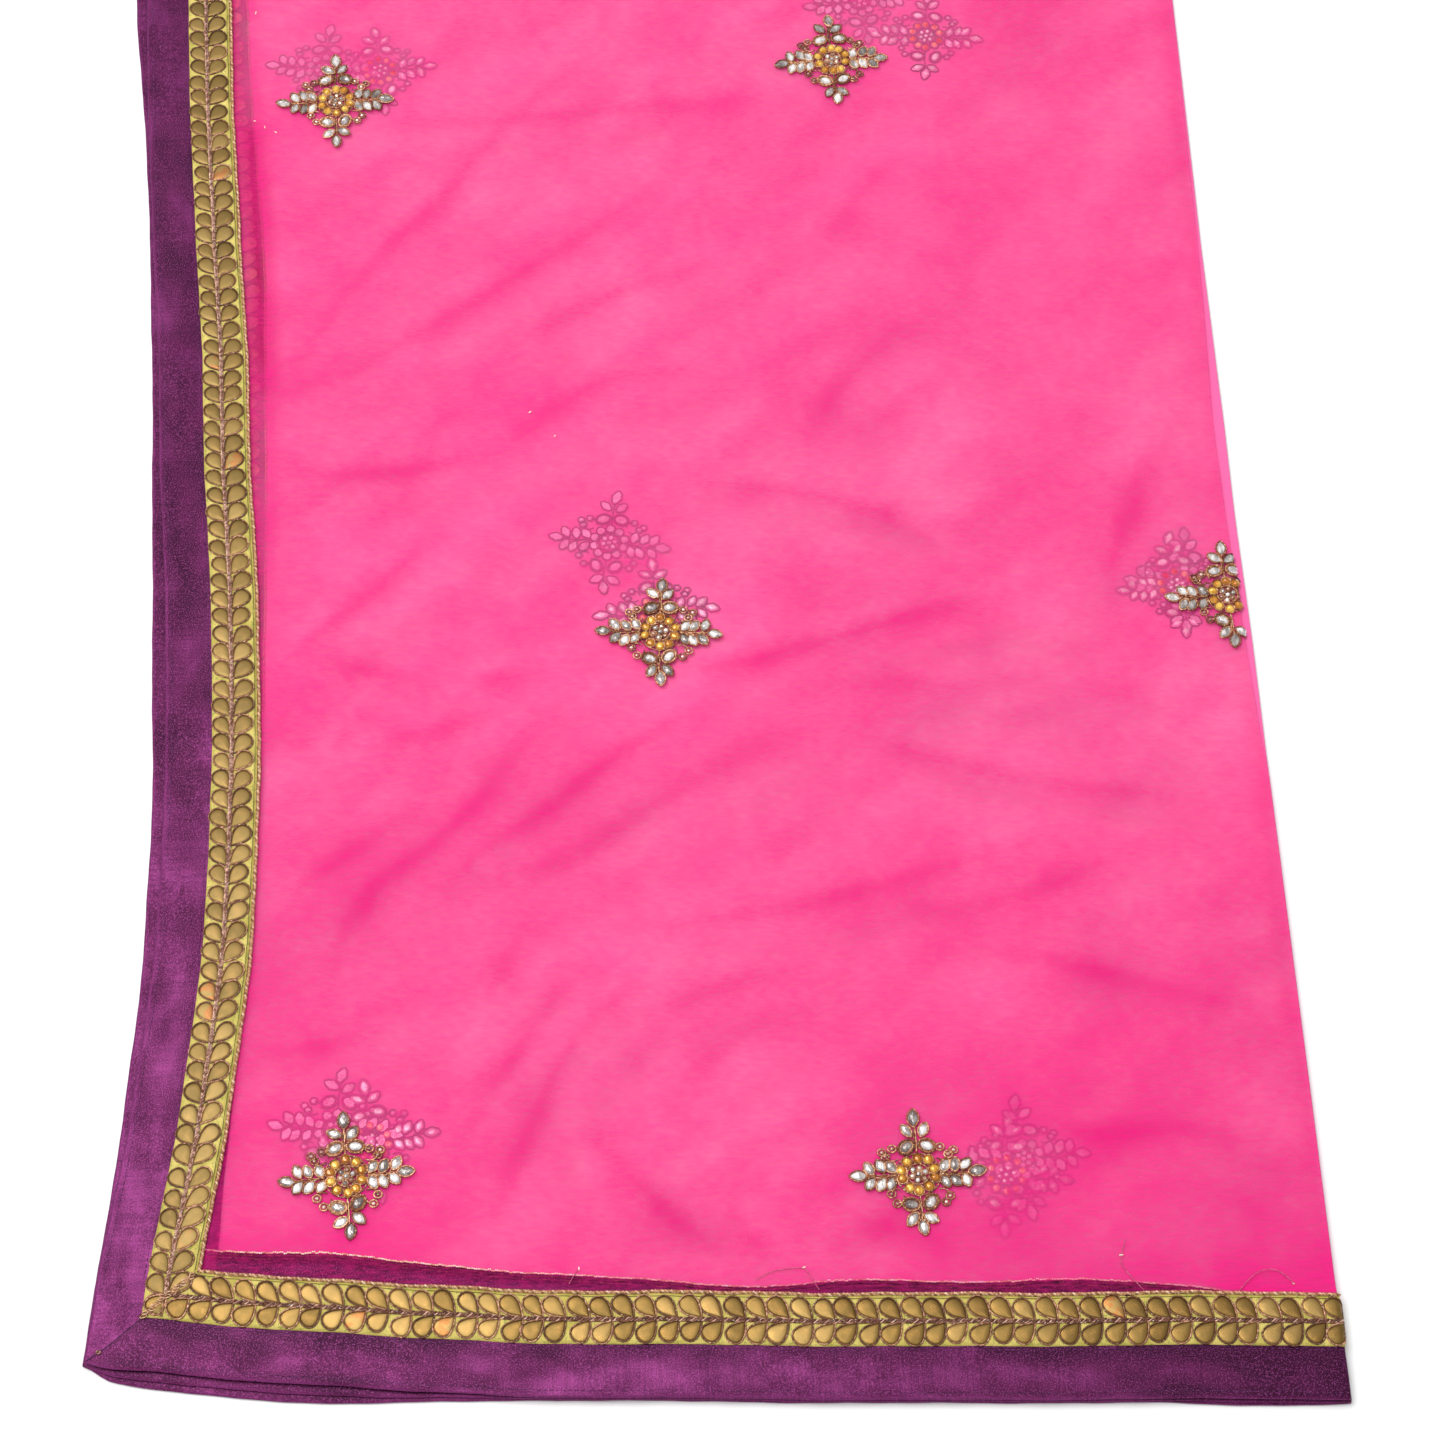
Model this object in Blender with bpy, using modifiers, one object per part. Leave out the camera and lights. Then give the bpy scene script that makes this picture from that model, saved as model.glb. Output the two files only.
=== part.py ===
"""Dupatta stole, folded in four and laid flat.

A 2.40 x 1.06 m length of net, bordered all round, is folded once along its
length and once across, so four layers lie on each other. The top layer is its
own panel; the three beneath it share one rounded solid, layered at its edges.
The lengthwise fold is at +X, the crosswise fold at the far end (+Y), and the
bordered edges are at -X and at the near end (-Y).
Units are metres, +Z up, and the cloth rests on z = 0.
"""
import math

import bmesh
import bpy
from mathutils import Vector

MM = 0.001

# ---------------------------------------------------------------- sizes
CLOTH_WALL = 0.0010        # wall of one layer of net
SEAM_GAP = 0.0003          # left between pieces that touch

PURPLE_W = 0.0215          # satin that shows outside the lace
LACE_W = 0.0210            # lace ribbon
BORDER_W = PURPLE_W + LACE_W   # whole satin strip, its inner half under the lace
PURPLE_END_W = 0.0225      # the same along the crosswise end
BORDER_END_W = PURPLE_END_W + 0.0215
BORDER_WALL = 0.0010
LACE_WALL = 0.0010
CORD_D = 0.0015
BOOTI_WALL = 0.0012

FOLD_X = 0.2627            # lengthwise fold, straight along Y
FAR_Y = 1.1900             # crosswise fold
SIDE_FOLD_R = 0.0015       # nose of the upper lengthwise fold
FAR_FOLD_R = 0.0021        # nose of the outer crosswise fold
MEASURED_X = -0.0089       # centre of the folded cloth in the measured frame
MEASURED_Y = 0.5898

# bordered side: how far out the top layer and the hidden layers reach
SIDE_EDGE = (
    # y,      top_x,    under_x
    (0.020, -0.2682, -0.2688),
    (0.075, -0.2614, -0.2632),
    (0.118, -0.2548, -0.2580),
    (0.162, -0.2497, -0.2544),
    (0.206, -0.2460, -0.2514),
    (0.268, -0.2444, -0.2504),
    (0.362, -0.2467, -0.2538),
    (0.455, -0.2533, -0.2577),
    (0.518, -0.2568, -0.2605),
    (0.648, -0.2668, -0.2688),
    (0.743, -0.2721, -0.2780),
    (0.920, -0.2792, -0.2832),
    (1.060, -0.2812, -0.2842),
    (1.200, -0.2800, -0.2836),
)
# bordered end: how near the top layer and the hidden layers reach
END_EDGE = (
    # x,      top_y,   under_y
    (-0.290, 0.0290, 0.0290),
    (-0.268, 0.0248, 0.0238),
    (-0.256, 0.0215, 0.0168),
    (-0.239, 0.0198, 0.0132),
    (-0.200, 0.0142, 0.0078),
    (-0.162, 0.0111, 0.0044),
    (-0.138, 0.0082, 0.0038),
    (-0.105, 0.0053, 0.0033),
    (-0.076, 0.0030, 0.0026),
    (-0.028, 0.0010, 0.0006),
    (0.046, -0.0025, -0.0029),
    (0.141, -0.0060, -0.0064),
    (0.181, -0.0070, -0.0078),
    (0.225, -0.0087, -0.0105),
    (0.270, -0.0108, -0.0114),
)
# height of the top layer's outer face, by distance from the nearest bordered edge
STACK = (
    # inset,        z
    (0.0000, 0.0040),
    (0.0220, 0.0045),      # under the satin
    (0.0430, 0.0051),      # four layers of lace lie under here
    (0.0620, 0.0044),
    (0.1500, 0.0042),      # plain net
)
# largest creases of the top layer: soft troughs between two points
CREASES = (
    # x0,     y0,     x1,     y1,     half_width, depth
    (-0.214, 0.511, 0.028, 0.675, 0.016, 0.0005),
    (-0.195, 0.545, -0.045, 0.745, 0.016, 0.0004),
    (-0.200, 0.459, -0.080, 0.520, 0.018, 0.0004),
    (-0.205, 0.348, -0.105, 0.452, 0.016, 0.0005),
    (-0.022, 0.350, 0.185, 0.428, 0.018, 0.0008),
    (-0.010, 0.450, 0.138, 0.412, 0.018, 0.0005),
    (-0.175, 0.200, -0.085, 0.310, 0.016, 0.0006),
    (-0.120, 0.238, -0.008, 0.330, 0.016, 0.0007),
    (-0.035, 0.225, 0.178, 0.262, 0.018, 0.0005),
    (-0.105, 0.088, -0.045, 0.196, 0.018, 0.0007),
    (-0.058, 0.130, 0.000, 0.066, 0.018, 0.0007),
    (0.118, 0.205, 0.236, 0.172, 0.018, 0.0005),
)
# edges of the three hidden layers, from the top layer's underside down:
# share of the reach beyond the top layer, then plain offsets outwards
UNDER_RINGS = (
    # z,      reach, side_mm, end_mm, fold_mm, far_mm
    (0.00245, 0.00, 0.2, 0.2, 0.0, 0.0),
    (0.00212, 0.10, -0.5, -0.5, 0.0, -0.2),
    (0.00185, 0.60, 0.2, 0.0, 2.3, 0.3),
    (0.00135, 0.62, 0.5, 0.3, 2.9, 0.4),
    (0.00105, 0.55, -0.3, -0.4, 2.9, 0.4),
    (0.00060, 1.00, 0.3, 0.0, 2.8, 0.2),
    (0.00000, 1.00, -0.5, -0.7, 1.4, -0.5),
)
UNDER_INSET = 0.0008       # top of the hidden layers, inside the top layer's edge
UNDER_FOLD_INSET = 0.0023  # the same at the lengthwise fold
UNDER_FAR_INSET = 0.0026   # and at the crosswise fold
# the lower lengthwise fold reaches a little past the upper one here
LOWER_FOLD = (
    # y,     past_mm
    (0.00, 0.0),
    (0.28, 0.0),
    (0.36, 1.6),
    (0.50, 2.6),
    (0.60, 1.8),
    (0.72, 0.6),
    (1.20, 0.4),
)

# embroidered motifs of the top layer: centre and turn
BOOTIS = (
    # name,       x,      y,      turn_deg
    ("booti_01", -0.1730, 0.6740, 2.0),
    ("booti_02", 0.0815, 0.6910, 3.0),
    ("booti_03", -0.0160, 0.3620, -3.0),
    ("booti_04", 0.2445, 0.3720, 2.0),
    ("booti_05", -0.1585, 0.1020, 4.0),
    ("booti_06", 0.0880, 0.0940, 1.0),
    ("booti_07", -0.0400, 0.9640, 0.0),
    ("booti_08", 0.2150, 0.9600, -2.0),
)
BOOTI_FOLD_REACH = 0.0120  # booti_04 is turned under at the fold, so it ends short
# one quarter of a motif's outline, from the side tip round to the upper tip
BOOTI_QUARTER = (
    # x_mm, y_mm
    (30.5, 0.0),
    (25.0, 5.0),
    (15.5, 7.5),
    (13.0, 12.0),
    (8.5, 17.0),
    (6.0, 23.0),
    (0.0, 29.0),
)

FIELD_COLS = 14            # columns of the panel between its border and its fold
FIELD_ROWS = 32
FOLD_ANGLES = (30.0, 60.0, 95.0)
FAR_ANGLES = (35.0, 75.0, 110.0, 150.0)


# ---------------------------------------------------------------- tables
def smooth_table(table, at, column):
    """Value of a table's column at a place, eased between its rows."""
    if at <= table[0][0]:
        return table[0][column]
    for low, high in zip(table, table[1:]):
        if at <= high[0]:
            part = (at - low[0]) / (high[0] - low[0])
            return low[column] + (high[column] - low[column]) * part
    return table[-1][column]


def side_x(y, column=1):
    return smooth_table(SIDE_EDGE, y, column)


def end_y(x, column=1):
    return smooth_table(END_EDGE, x, column)


def crease_relief(x, y):
    """Depth of the largest creases, gone at the borders and at the folds."""
    total = 0.0
    for x0, y0, x1, y1, half_width, depth in CREASES:
        dx, dy = x1 - x0, y1 - y0
        length = math.hypot(dx, dy)
        along = ((x - x0) * dx + (y - y0) * dy) / length ** 2
        across = ((x - x0) * dy - (y - y0) * dx) / length
        past = max(0.0, -along, along - 1.0) * length
        total += depth * math.exp(-(across / half_width) ** 2 - (past / 0.03) ** 2)
    inset = min(x - side_x(y), y - end_y(x))
    fade = min(1.0, max(0.0, (inset - 0.062) / 0.03))
    fade *= min(1.0, max(0.0, (FOLD_X - 0.012 - x) / 0.03))
    fade *= min(1.0, max(0.0, (FAR_Y - 0.015 - y) / 0.03))
    return min(total, 0.0010) * fade


def top_z(x, y, inset=None):
    """Outer face of the top layer."""
    if inset is None:
        inset = min(x - side_x(y), y - end_y(x))
    return smooth_table(STACK, max(0.0, inset), 1) - crease_relief(x, y)


# ---------------------------------------------------------------- panel grid
SIDE_INSETS = (0.0, PURPLE_W, BORDER_W, 0.062)
END_INSETS = (0.0, PURPLE_END_W, BORDER_END_W, 0.062)
COLS = len(SIDE_INSETS) - 1 + FIELD_COLS + len(FOLD_ANGLES)
ROWS = len(END_INSETS) - 1 + FIELD_ROWS + len(FAR_ANGLES)
FLAT_COLS = len(SIDE_INSETS) - 1 + FIELD_COLS      # index of the last flat column
FLAT_ROWS = len(END_INSETS) - 1 + FIELD_ROWS


def column_x(i, y, fold_inset=SIDE_FOLD_R):
    if i < len(SIDE_INSETS):
        return side_x(y) + SIDE_INSETS[i]
    start = side_x(y) + SIDE_INSETS[-1]
    stop = FOLD_X - fold_inset
    part = (i - len(SIDE_INSETS) + 1) / FIELD_COLS
    return start + (stop - start) * min(1.0, part)


def row_y(j, x, far_inset=FAR_FOLD_R):
    if j < len(END_INSETS):
        return end_y(x) + END_INSETS[j]
    part = min(1.0, (j - len(END_INSETS) + 1) / FIELD_ROWS)
    start = end_y(x) + END_INSETS[-1]
    level = END_INSETS[-1]
    stop = FAR_Y - far_inset
    straight = level + (stop - level) * part
    lean = (start - level) * max(0.0, 1.0 - part * 3.0)
    return straight + lean


def flat_point(i, j, fold_inset=SIDE_FOLD_R, far_inset=FAR_FOLD_R):
    """Where a row and a column of the grid cross, on the flat part."""
    x, y = 0.0, 0.1
    for _ in range(6):
        x = column_x(min(i, FLAT_COLS), y, fold_inset)
        y = row_y(min(j, FLAT_ROWS), x, far_inset)
    return x, y


def grid_inset(i, j):
    """Distance from the nearest bordered edge, exact on the border's lines."""
    side = SIDE_INSETS[i] if i < len(SIDE_INSETS) else None
    end = END_INSETS[j] if j < len(END_INSETS) else None
    if side is not None and end is not None:
        return min(side, end)
    if side is not None:
        return side
    return end


def panel_point(i, j, lift=0.0):
    """A point of the top layer's outer face, or one lifted off it."""
    x, y = flat_point(i, j)
    z = top_z(x, y, grid_inset(i, j))
    side_drop = far_drop = 0.0
    if i > FLAT_COLS:
        a = math.radians(FOLD_ANGLES[i - FLAT_COLS - 1])
        x += SIDE_FOLD_R * math.sin(a) + lift * math.sin(a)
        side_drop = SIDE_FOLD_R * (1.0 - math.cos(a)) + lift * (1.0 - math.cos(a))
    if j > FLAT_ROWS:
        a = math.radians(FAR_ANGLES[j - FLAT_ROWS - 1])
        y += FAR_FOLD_R * math.sin(a) + lift * math.sin(a)
        far_drop = FAR_FOLD_R * (1.0 - math.cos(a)) + lift * (1.0 - math.cos(a))
    z += lift - max(side_drop, far_drop)
    return Vector((x - MEASURED_X, y - MEASURED_Y, z))


def grid_mesh(first_col, last_col, first_row, last_row, place):
    """A grid whose vertices are put in place by column and row, cut along one
    diagonal so that neighbouring pieces share their facets."""
    cols, rows = last_col - first_col, last_row - first_row
    bm = bmesh.new()
    bmesh.ops.create_grid(bm, x_segments=cols, y_segments=rows, size=1.0)
    index = bm.verts.layers.int.new("index")
    for v in bm.verts:
        i = round((v.co.x + 1.0) / 2.0 * cols)
        j = round((v.co.y + 1.0) / 2.0 * rows)
        v[index] = i * 1000 + j
    for face in list(bm.faces):
        corners = {v[index]: v for v in face.verts}
        low, high = min(corners), max(corners)
        bmesh.utils.face_split(face, corners[low], corners[high])
    for v in bm.verts:
        i, j = divmod(v[index], 1000)
        v.co = place(i + first_col, j + first_row)
    bm.normal_update()
    return bm, index


# ---------------------------------------------------------------- helpers
def clear_scene():
    for obj in list(bpy.data.objects):
        bpy.data.objects.remove(obj, do_unlink=True)


def collection(name):
    col = bpy.data.collections.new(name)
    bpy.context.scene.collection.children.link(col)
    return col


def material(name, colour, roughness, metallic=0.0):
    mat = bpy.data.materials.new(name)
    mat.use_nodes = True
    shader = mat.node_tree.nodes["Principled BSDF"]
    shader.inputs["Base Color"].default_value = (*colour, 1.0)
    shader.inputs["Roughness"].default_value = roughness
    shader.inputs["Metallic"].default_value = metallic
    return mat


def new_object(name, data, mat):
    obj = bpy.data.objects.new(name, data)
    data.materials.append(mat)
    PARTS.objects.link(obj)
    return obj


def from_bmesh(name, bm, mat, smooth=True):
    mesh = bpy.data.meshes.new(name)
    bm.to_mesh(mesh)
    bm.free()
    if smooth:
        mesh.shade_smooth()
        mesh.set_sharp_from_angle(angle=math.radians(40))
    return new_object(name, mesh, mat)


def add_wall(obj, thickness):
    """Solidify an open sheet inwards from its outer face."""
    mod = obj.modifiers.new("wall", "SOLIDIFY")
    mod.thickness = thickness
    mod.offset = -1.0
    mod.use_even_offset = True
    return obj


# ---------------------------------------------------------------- pieces
def make_top_layer(mat):
    bm, _ = grid_mesh(0, COLS, 0, ROWS, panel_point)
    return add_wall(from_bmesh("net_top_layer", bm, mat), CLOTH_WALL)


def under_top_point(i, j):
    """Top of the hidden layers: the panel's own grid, let down and drawn in."""
    x, y = flat_point(i, j, UNDER_FOLD_INSET, UNDER_FAR_INSET)
    z = top_z(x, y, grid_inset(i, j)) - CLOTH_WALL - SEAM_GAP
    if i == 0:
        x += UNDER_INSET
    if j == 0:
        y += UNDER_INSET
    return Vector((x - MEASURED_X, y - MEASURED_Y, z))


def make_hidden_layers(mat):
    bm, index = grid_mesh(0, FLAT_COLS, 0, FLAT_ROWS, under_top_point)
    edge = [e for e in bm.edges if e.is_boundary]
    home = {v[index]: v.co.copy() for v in bm.verts}
    for z, reach, side_mm, end_mm, fold_mm, far_mm in UNDER_RINGS:
        grown = bmesh.ops.extrude_edge_only(bm, edges=edge)["geom"]
        for v in (g for g in grown if isinstance(g, bmesh.types.BMVert)):
            i, j = divmod(v[index], 1000)
            x, y = flat_point(i, j)
            v.co = home[v[index]]
            v.co.z = z
            if i == 0:
                v.co.x -= reach * (side_x(y, 1) - side_x(y, 2)) + side_mm * MM
            if j == 0:
                v.co.y -= reach * (end_y(x, 1) - end_y(x, 2)) + end_mm * MM
            if i == FLAT_COLS:
                past = smooth_table(LOWER_FOLD, y, 1) * min(1.0, fold_mm / 2.3)
                v.co.x += (fold_mm + past) * MM
            if j == FLAT_ROWS:
                v.co.y += far_mm * MM
        edge = [g for g in grown if isinstance(g, bmesh.types.BMEdge)
                and g.is_boundary]
    bmesh.ops.edgeloop_fill(bm, edges=edge)
    bmesh.ops.recalc_face_normals(bm, faces=bm.faces)
    return from_bmesh("net_hidden_layers", bm, mat)


def keep_strip(bm, index, test):
    """Delete the faces of a grid that aren't on the strip."""
    gone = []
    for face in bm.faces:
        cells = [divmod(v[index], 1000) for v in face.verts]
        if not test(cells):
            gone.append(face)
    bmesh.ops.delete(bm, geom=gone, context="FACES")


def mitre_shift(i, j, sign):
    """Half of the seam's gap, square to the mitre, on points along it."""
    if i == j and i <= 2:
        half = SEAM_GAP * 0.6
        return Vector((-sign * half, sign * half, 0.0))
    return Vector((0.0, 0.0, 0.0))


def on_side(cells):
    return all(j >= i for i, j in cells)


def on_end(cells):
    return all(j <= i for i, j in cells)


def make_strip(name, mat, along, first, last, lift, wall):
    """A border or lace strip made from the panel's own points, moved out."""
    top = lift + wall
    if along == "side":
        def place(i, j):
            return panel_point(i, j, top) + mitre_shift(i, j, 1.0)
        bm, index = grid_mesh(first, last, 0, FLAT_ROWS, place)
        offset, test = (first, 0), on_side
    else:
        def place(i, j):
            return panel_point(i, j, top) + mitre_shift(i, j, -1.0)
        bm, index = grid_mesh(0, COLS, first, last, place)
        offset, test = (0, first), on_end
    keep_strip(bm, index,
               lambda cells: test([(i + offset[0], j + offset[1]) for i, j in cells]))
    loose = [v for v in bm.verts if not v.link_faces]
    bmesh.ops.delete(bm, geom=loose, context="VERTS")
    return add_wall(from_bmesh(name, bm, mat), wall)


def make_cord(name, mat, along):
    """Twisted cord along the inner edge of the lace, as a plain round tube."""
    lift = SEAM_GAP + CORD_D / 2.0
    beside = SEAM_GAP + CORD_D / 2.0 + 0.0001
    points = []
    if along == "side":
        for j in range(2, FLAT_ROWS + 1):
            x, y = flat_point(2, j)
            x += beside
            if j == 2:
                y += beside + CORD_D / 2.0 + SEAM_GAP
            points.append((x, y))
    else:
        for i in range(2, FLAT_COLS + 1):
            x, y = flat_point(i, 2)
            if i == 2:
                x += 0.0004
            y += beside
            points.append((x, y))
    curve = bpy.data.curves.new(name, "CURVE")
    curve.dimensions = "3D"
    curve.bevel_depth = CORD_D / 2.0
    curve.bevel_resolution = 2
    curve.use_fill_caps = True
    spline = curve.splines.new("POLY")
    spline.points.add(len(points) - 1)
    for point, (x, y) in zip(spline.points, points):
        point.co = (x - MEASURED_X, y - MEASURED_Y, top_z(x, y) + lift, 1.0)
    return new_object(name, curve, mat)


def booti_outline():
    """Four mirrored quarters of the motif's outline, anticlockwise."""
    quarter = list(BOOTI_QUARTER)
    ring = quarter[:-1]
    ring += [(-x, y) for x, y in reversed(quarter[1:])]
    ring += [(-x, -y) for x, y in quarter[:-1]]
    ring += [(x, -y) for x, y in reversed(quarter[1:])]
    return [(x * MM, y * MM) for x, y in ring]


def make_booti(name, mat, cx, cy, turn):
    outline = booti_outline()
    count = len(outline)
    bm = bmesh.new()
    bmesh.ops.create_circle(bm, cap_ends=True, cap_tris=True, radius=1.0,
                            segments=count)
    spokes = [e for e in bm.edges if any(v.co.length < 1e-6 for v in e.verts)]
    bmesh.ops.subdivide_edges(bm, edges=spokes, cuts=1)
    angle = math.radians(turn)
    for v in bm.verts:
        radius = v.co.length
        if radius < 1e-6:
            x = y = 0.0
        else:
            k = round(math.atan2(v.co.y, v.co.x) / (2.0 * math.pi) * count) % count
            x, y = outline[k][0] * radius, outline[k][1] * radius
        px = cx + x * math.cos(angle) - y * math.sin(angle)
        py = cy + x * math.sin(angle) + y * math.cos(angle)
        if name == "booti_04" and px > cx:
            px = cx + (px - cx) * BOOTI_FOLD_REACH / 0.0305
        v.co = (px - MEASURED_X, py - MEASURED_Y,
                top_z(px, py) + SEAM_GAP + 0.0002 + BOOTI_WALL)
    bmesh.ops.triangulate(bm, faces=bm.faces)
    bmesh.ops.recalc_face_normals(bm, faces=bm.faces)
    if sum(f.normal.z for f in bm.faces) < 0.0:
        bmesh.ops.reverse_faces(bm, faces=bm.faces)
    return add_wall(from_bmesh(name, bm, mat), BOOTI_WALL)


def main():
    net = material("pink_net", (0.92, 0.08, 0.30), 0.75)
    net_under = material("pink_net_under", (0.80, 0.06, 0.25), 0.75)
    satin = material("purple_satin", (0.13, 0.02, 0.14), 0.38)
    satin_end = material("purple_satin_end", (0.12, 0.018, 0.13), 0.38)
    lace = material("gota_leaf_lace", (0.45, 0.38, 0.10), 0.35, 0.5)
    lace_end = material("gota_leaf_lace_end", (0.43, 0.36, 0.09), 0.35, 0.5)
    cord = material("copper_gold_cord", (0.45, 0.24, 0.12), 0.35, 0.8)
    cord_end = material("copper_gold_cord_end", (0.44, 0.23, 0.12), 0.35, 0.8)

    make_hidden_layers(net_under)
    make_top_layer(net)
    lift = SEAM_GAP
    make_strip("border_side", satin, "side", 0, 2, lift, BORDER_WALL)
    make_strip("border_end", satin_end, "end", 0, 2, lift, BORDER_WALL)
    lift += BORDER_WALL + SEAM_GAP
    make_strip("lace_side", lace, "side", 1, 2, lift, LACE_WALL)
    make_strip("lace_end", lace_end, "end", 1, 2, lift, LACE_WALL)
    make_cord("cord_side", cord, "side")
    make_cord("cord_end", cord_end, "end")
    for name, x, y, turn in BOOTIS:
        stones = material(name + "_stones", (0.62, 0.52, 0.38), 0.25, 0.4)
        make_booti(name, stones, x, y, turn)


clear_scene()
PARTS = collection("dupatta_stole")
main()
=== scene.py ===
"""Dupatta stole, folded in four and laid flat: net with satin borders, leaf lace
and stone-set embroidery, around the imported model.

The cloth lies in four layers. From the top: A face up, B face down (joined to A
at the lengthwise fold), C face up, D face down (joined to C at the lengthwise
fold). A meets D, and B meets C, at the far crosswise fold. Tables are in the
frame of the measured sheet, in metres; OX and OY move them to the part's frame.
"""

import math

import bpy
import numpy as np
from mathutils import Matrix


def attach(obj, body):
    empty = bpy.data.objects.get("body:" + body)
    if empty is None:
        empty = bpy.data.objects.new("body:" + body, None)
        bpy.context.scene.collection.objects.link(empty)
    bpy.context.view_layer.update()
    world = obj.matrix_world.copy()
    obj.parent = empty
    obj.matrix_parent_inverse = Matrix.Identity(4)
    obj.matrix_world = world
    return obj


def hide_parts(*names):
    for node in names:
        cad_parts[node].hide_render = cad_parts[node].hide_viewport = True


MM = 0.001
OX, OY = 0.0089, -0.5898          # measured frame -> part frame

# ------------------------------------------------------------------ sizes
PURPLE_W, LACE_W = 0.0215, 0.0210
PURPLE_END_W, LACE_END_W = 0.0225, 0.0215
BORDER_W = PURPLE_W + LACE_W
BORDER_END_W = PURPLE_END_W + LACE_END_W
FOLD_X = 0.2627
FAR_Y = 1.1900
NOSE_X = FOLD_X - 0.00115         # where the lengthwise fold starts to turn
NOSE_Y = FAR_Y - 0.0025           # where the crosswise fold starts to turn
SIDE_ARC = 0.0036                 # cloth taken by the lengthwise fold's half turn
FAR_ARC = 0.0040                  # and by a quarter turn of the crosswise fold
LEAF_PITCH = 0.0094
VEIN_AT = {"side": 0.435, "end": 0.49}   # share of the lace's width from the satin

SIDE_EDGE = (
    # y,      top_x,    lowest_x
    (0.020, -0.2682, -0.2688),
    (0.075, -0.2614, -0.2632),
    (0.118, -0.2548, -0.2580),
    (0.162, -0.2497, -0.2544),
    (0.206, -0.2460, -0.2514),
    (0.268, -0.2444, -0.2504),
    (0.362, -0.2467, -0.2538),
    (0.455, -0.2533, -0.2577),
    (0.518, -0.2568, -0.2605),
    (0.648, -0.2668, -0.2688),
    (0.743, -0.2721, -0.2780),
    (0.920, -0.2792, -0.2832),
    (1.060, -0.2812, -0.2842),
    (1.200, -0.2800, -0.2836),
)
END_EDGE = (
    # x,      top_y,   lowest_y
    (-0.290, 0.0290, 0.0290),
    (-0.268, 0.0248, 0.0238),
    (-0.256, 0.0215, 0.0168),
    (-0.239, 0.0198, 0.0132),
    (-0.200, 0.0142, 0.0078),
    (-0.162, 0.0111, 0.0044),
    (-0.138, 0.0082, 0.0038),
    (-0.105, 0.0053, 0.0033),
    (-0.076, 0.0030, 0.0026),
    (-0.028, 0.0010, 0.0006),
    (0.046, -0.0025, -0.0029),
    (0.141, -0.0060, -0.0064),
    (0.181, -0.0070, -0.0078),
    (0.225, -0.0087, -0.0105),
    (0.270, -0.0108, -0.0114),
)
# how far layer C lies in from A along the bordered side (its lace shows there)
C_SHIFT = ((0.00, -0.0010), (0.27, -0.0005), (0.31, 0.0006), (0.36, 0.0022), (0.41, 0.0046),
           (0.46, 0.0074), (0.525, 0.0086), (0.58, 0.0112), (0.64, 0.0102),
           (0.74, 0.0082), (0.90, 0.0060), (1.20, 0.0030))
# how far layer B lies in from A along the bordered end (its satin shows there)
B_SHIFT = ((-0.29, 0.0105), (-0.210, 0.0111), (-0.169, 0.0123), (-0.129, 0.0113),
           (-0.088, 0.0092), (-0.050, 0.0076), (-0.0265, 0.0062), (0.0012, 0.0044),
           (0.0157, 0.0038), (0.0527, 0.0067), (0.0736, 0.0072), (0.1115, 0.0063),
           (0.1383, 0.0072), (0.169, 0.0065), (0.190, 0.0049), (0.203, 0.0038),
           (0.221, 0.0015), (0.27, 0.0))
# the same along the side: it only shows a little near the corner
B_SIDE = ((0.00, 0.0100), (0.045, 0.0088), (0.075, 0.0062), (0.110, 0.0030), (0.145, 0.0010),
          (0.19, 0.0002), (0.40, 0.0004), (0.60, 0.0002), (0.80, 0.0004),
          (1.20, 0.0003))
# the lower lengthwise fold reaches past the upper one here
LOWER_FOLD = ((0.00, 0.0006), (0.28, 0.0006), (0.36, 0.0020), (0.50, 0.0030),
              (0.60, 0.0022), (0.72, 0.0010), (1.10, 0.0004), (1.17, 0.0),
              (1.30, 0.0))
# how far each lengthwise fold is drawn in from a straight line
FOLD_IN = (
    # y,    upper,  lower
    (0.00, 0.0003, 0.0003), (0.10, 0.0005, 0.0005), (0.20, 0.0010, 0.0010),
    (0.27, 0.0014, 0.0014), (0.31, 0.0034, 0.0020), (0.37, 0.0055, 0.0034),
    (0.43, 0.0070, 0.0046), (0.465, 0.0074, 0.0046), (0.50, 0.0063, 0.0049),
    (0.56, 0.0044, 0.0047), (0.62, 0.0034, 0.0037), (0.72, 0.0022, 0.0021),
    (0.90, 0.0014, 0.0012), (1.20, 0.0005, 0.0005))

# heights of each layer's face (border) and of its net, by distance from its edge
FACE = {
    "A": ((0.000, 0.00510), (0.022, 0.00560), (0.044, 0.00615)),
    "B": ((0.000, 0.00280), (0.022, 0.00345), (0.044, 0.00375)),
    "C": ((0.000, 0.00250), (0.022, 0.00250), (0.044, 0.00250)),
    "D": ((0.000, 0.00015), (0.022, 0.00085), (0.044, 0.00090)),
}
NET = {
    "A": ((0.000, 0.0047), (0.022, 0.0052), (0.043, 0.0057), (0.049, 0.0050),
          (0.058, 0.0045), (0.080, 0.0042), (0.150, 0.0040)),
    "B": ((0.000, 0.0033), (0.022, 0.0038), (0.043, 0.0041), (0.052, 0.0035),
          (0.062, 0.0031), (0.080, 0.0029), (0.150, 0.00285)),
    "C": ((0.000, 0.0021), (0.043, 0.0022), (0.055, 0.0020), (0.080, 0.0018),
          (0.150, 0.0018)),
    "D": ((0.000, 0.0006), (0.022, 0.0012), (0.043, 0.0012), (0.060, 0.0009),
          (0.150, 0.00075)),
}
UP = {"A": 1.0, "B": -1.0, "C": 1.0, "D": -1.0}
TURN_SIDE = {"A": "B", "C": "D", "B": "A", "D": "C"}     # joined at the side fold
BELOW = {"A": "B", "B": "C", "C": "D"}
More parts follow.
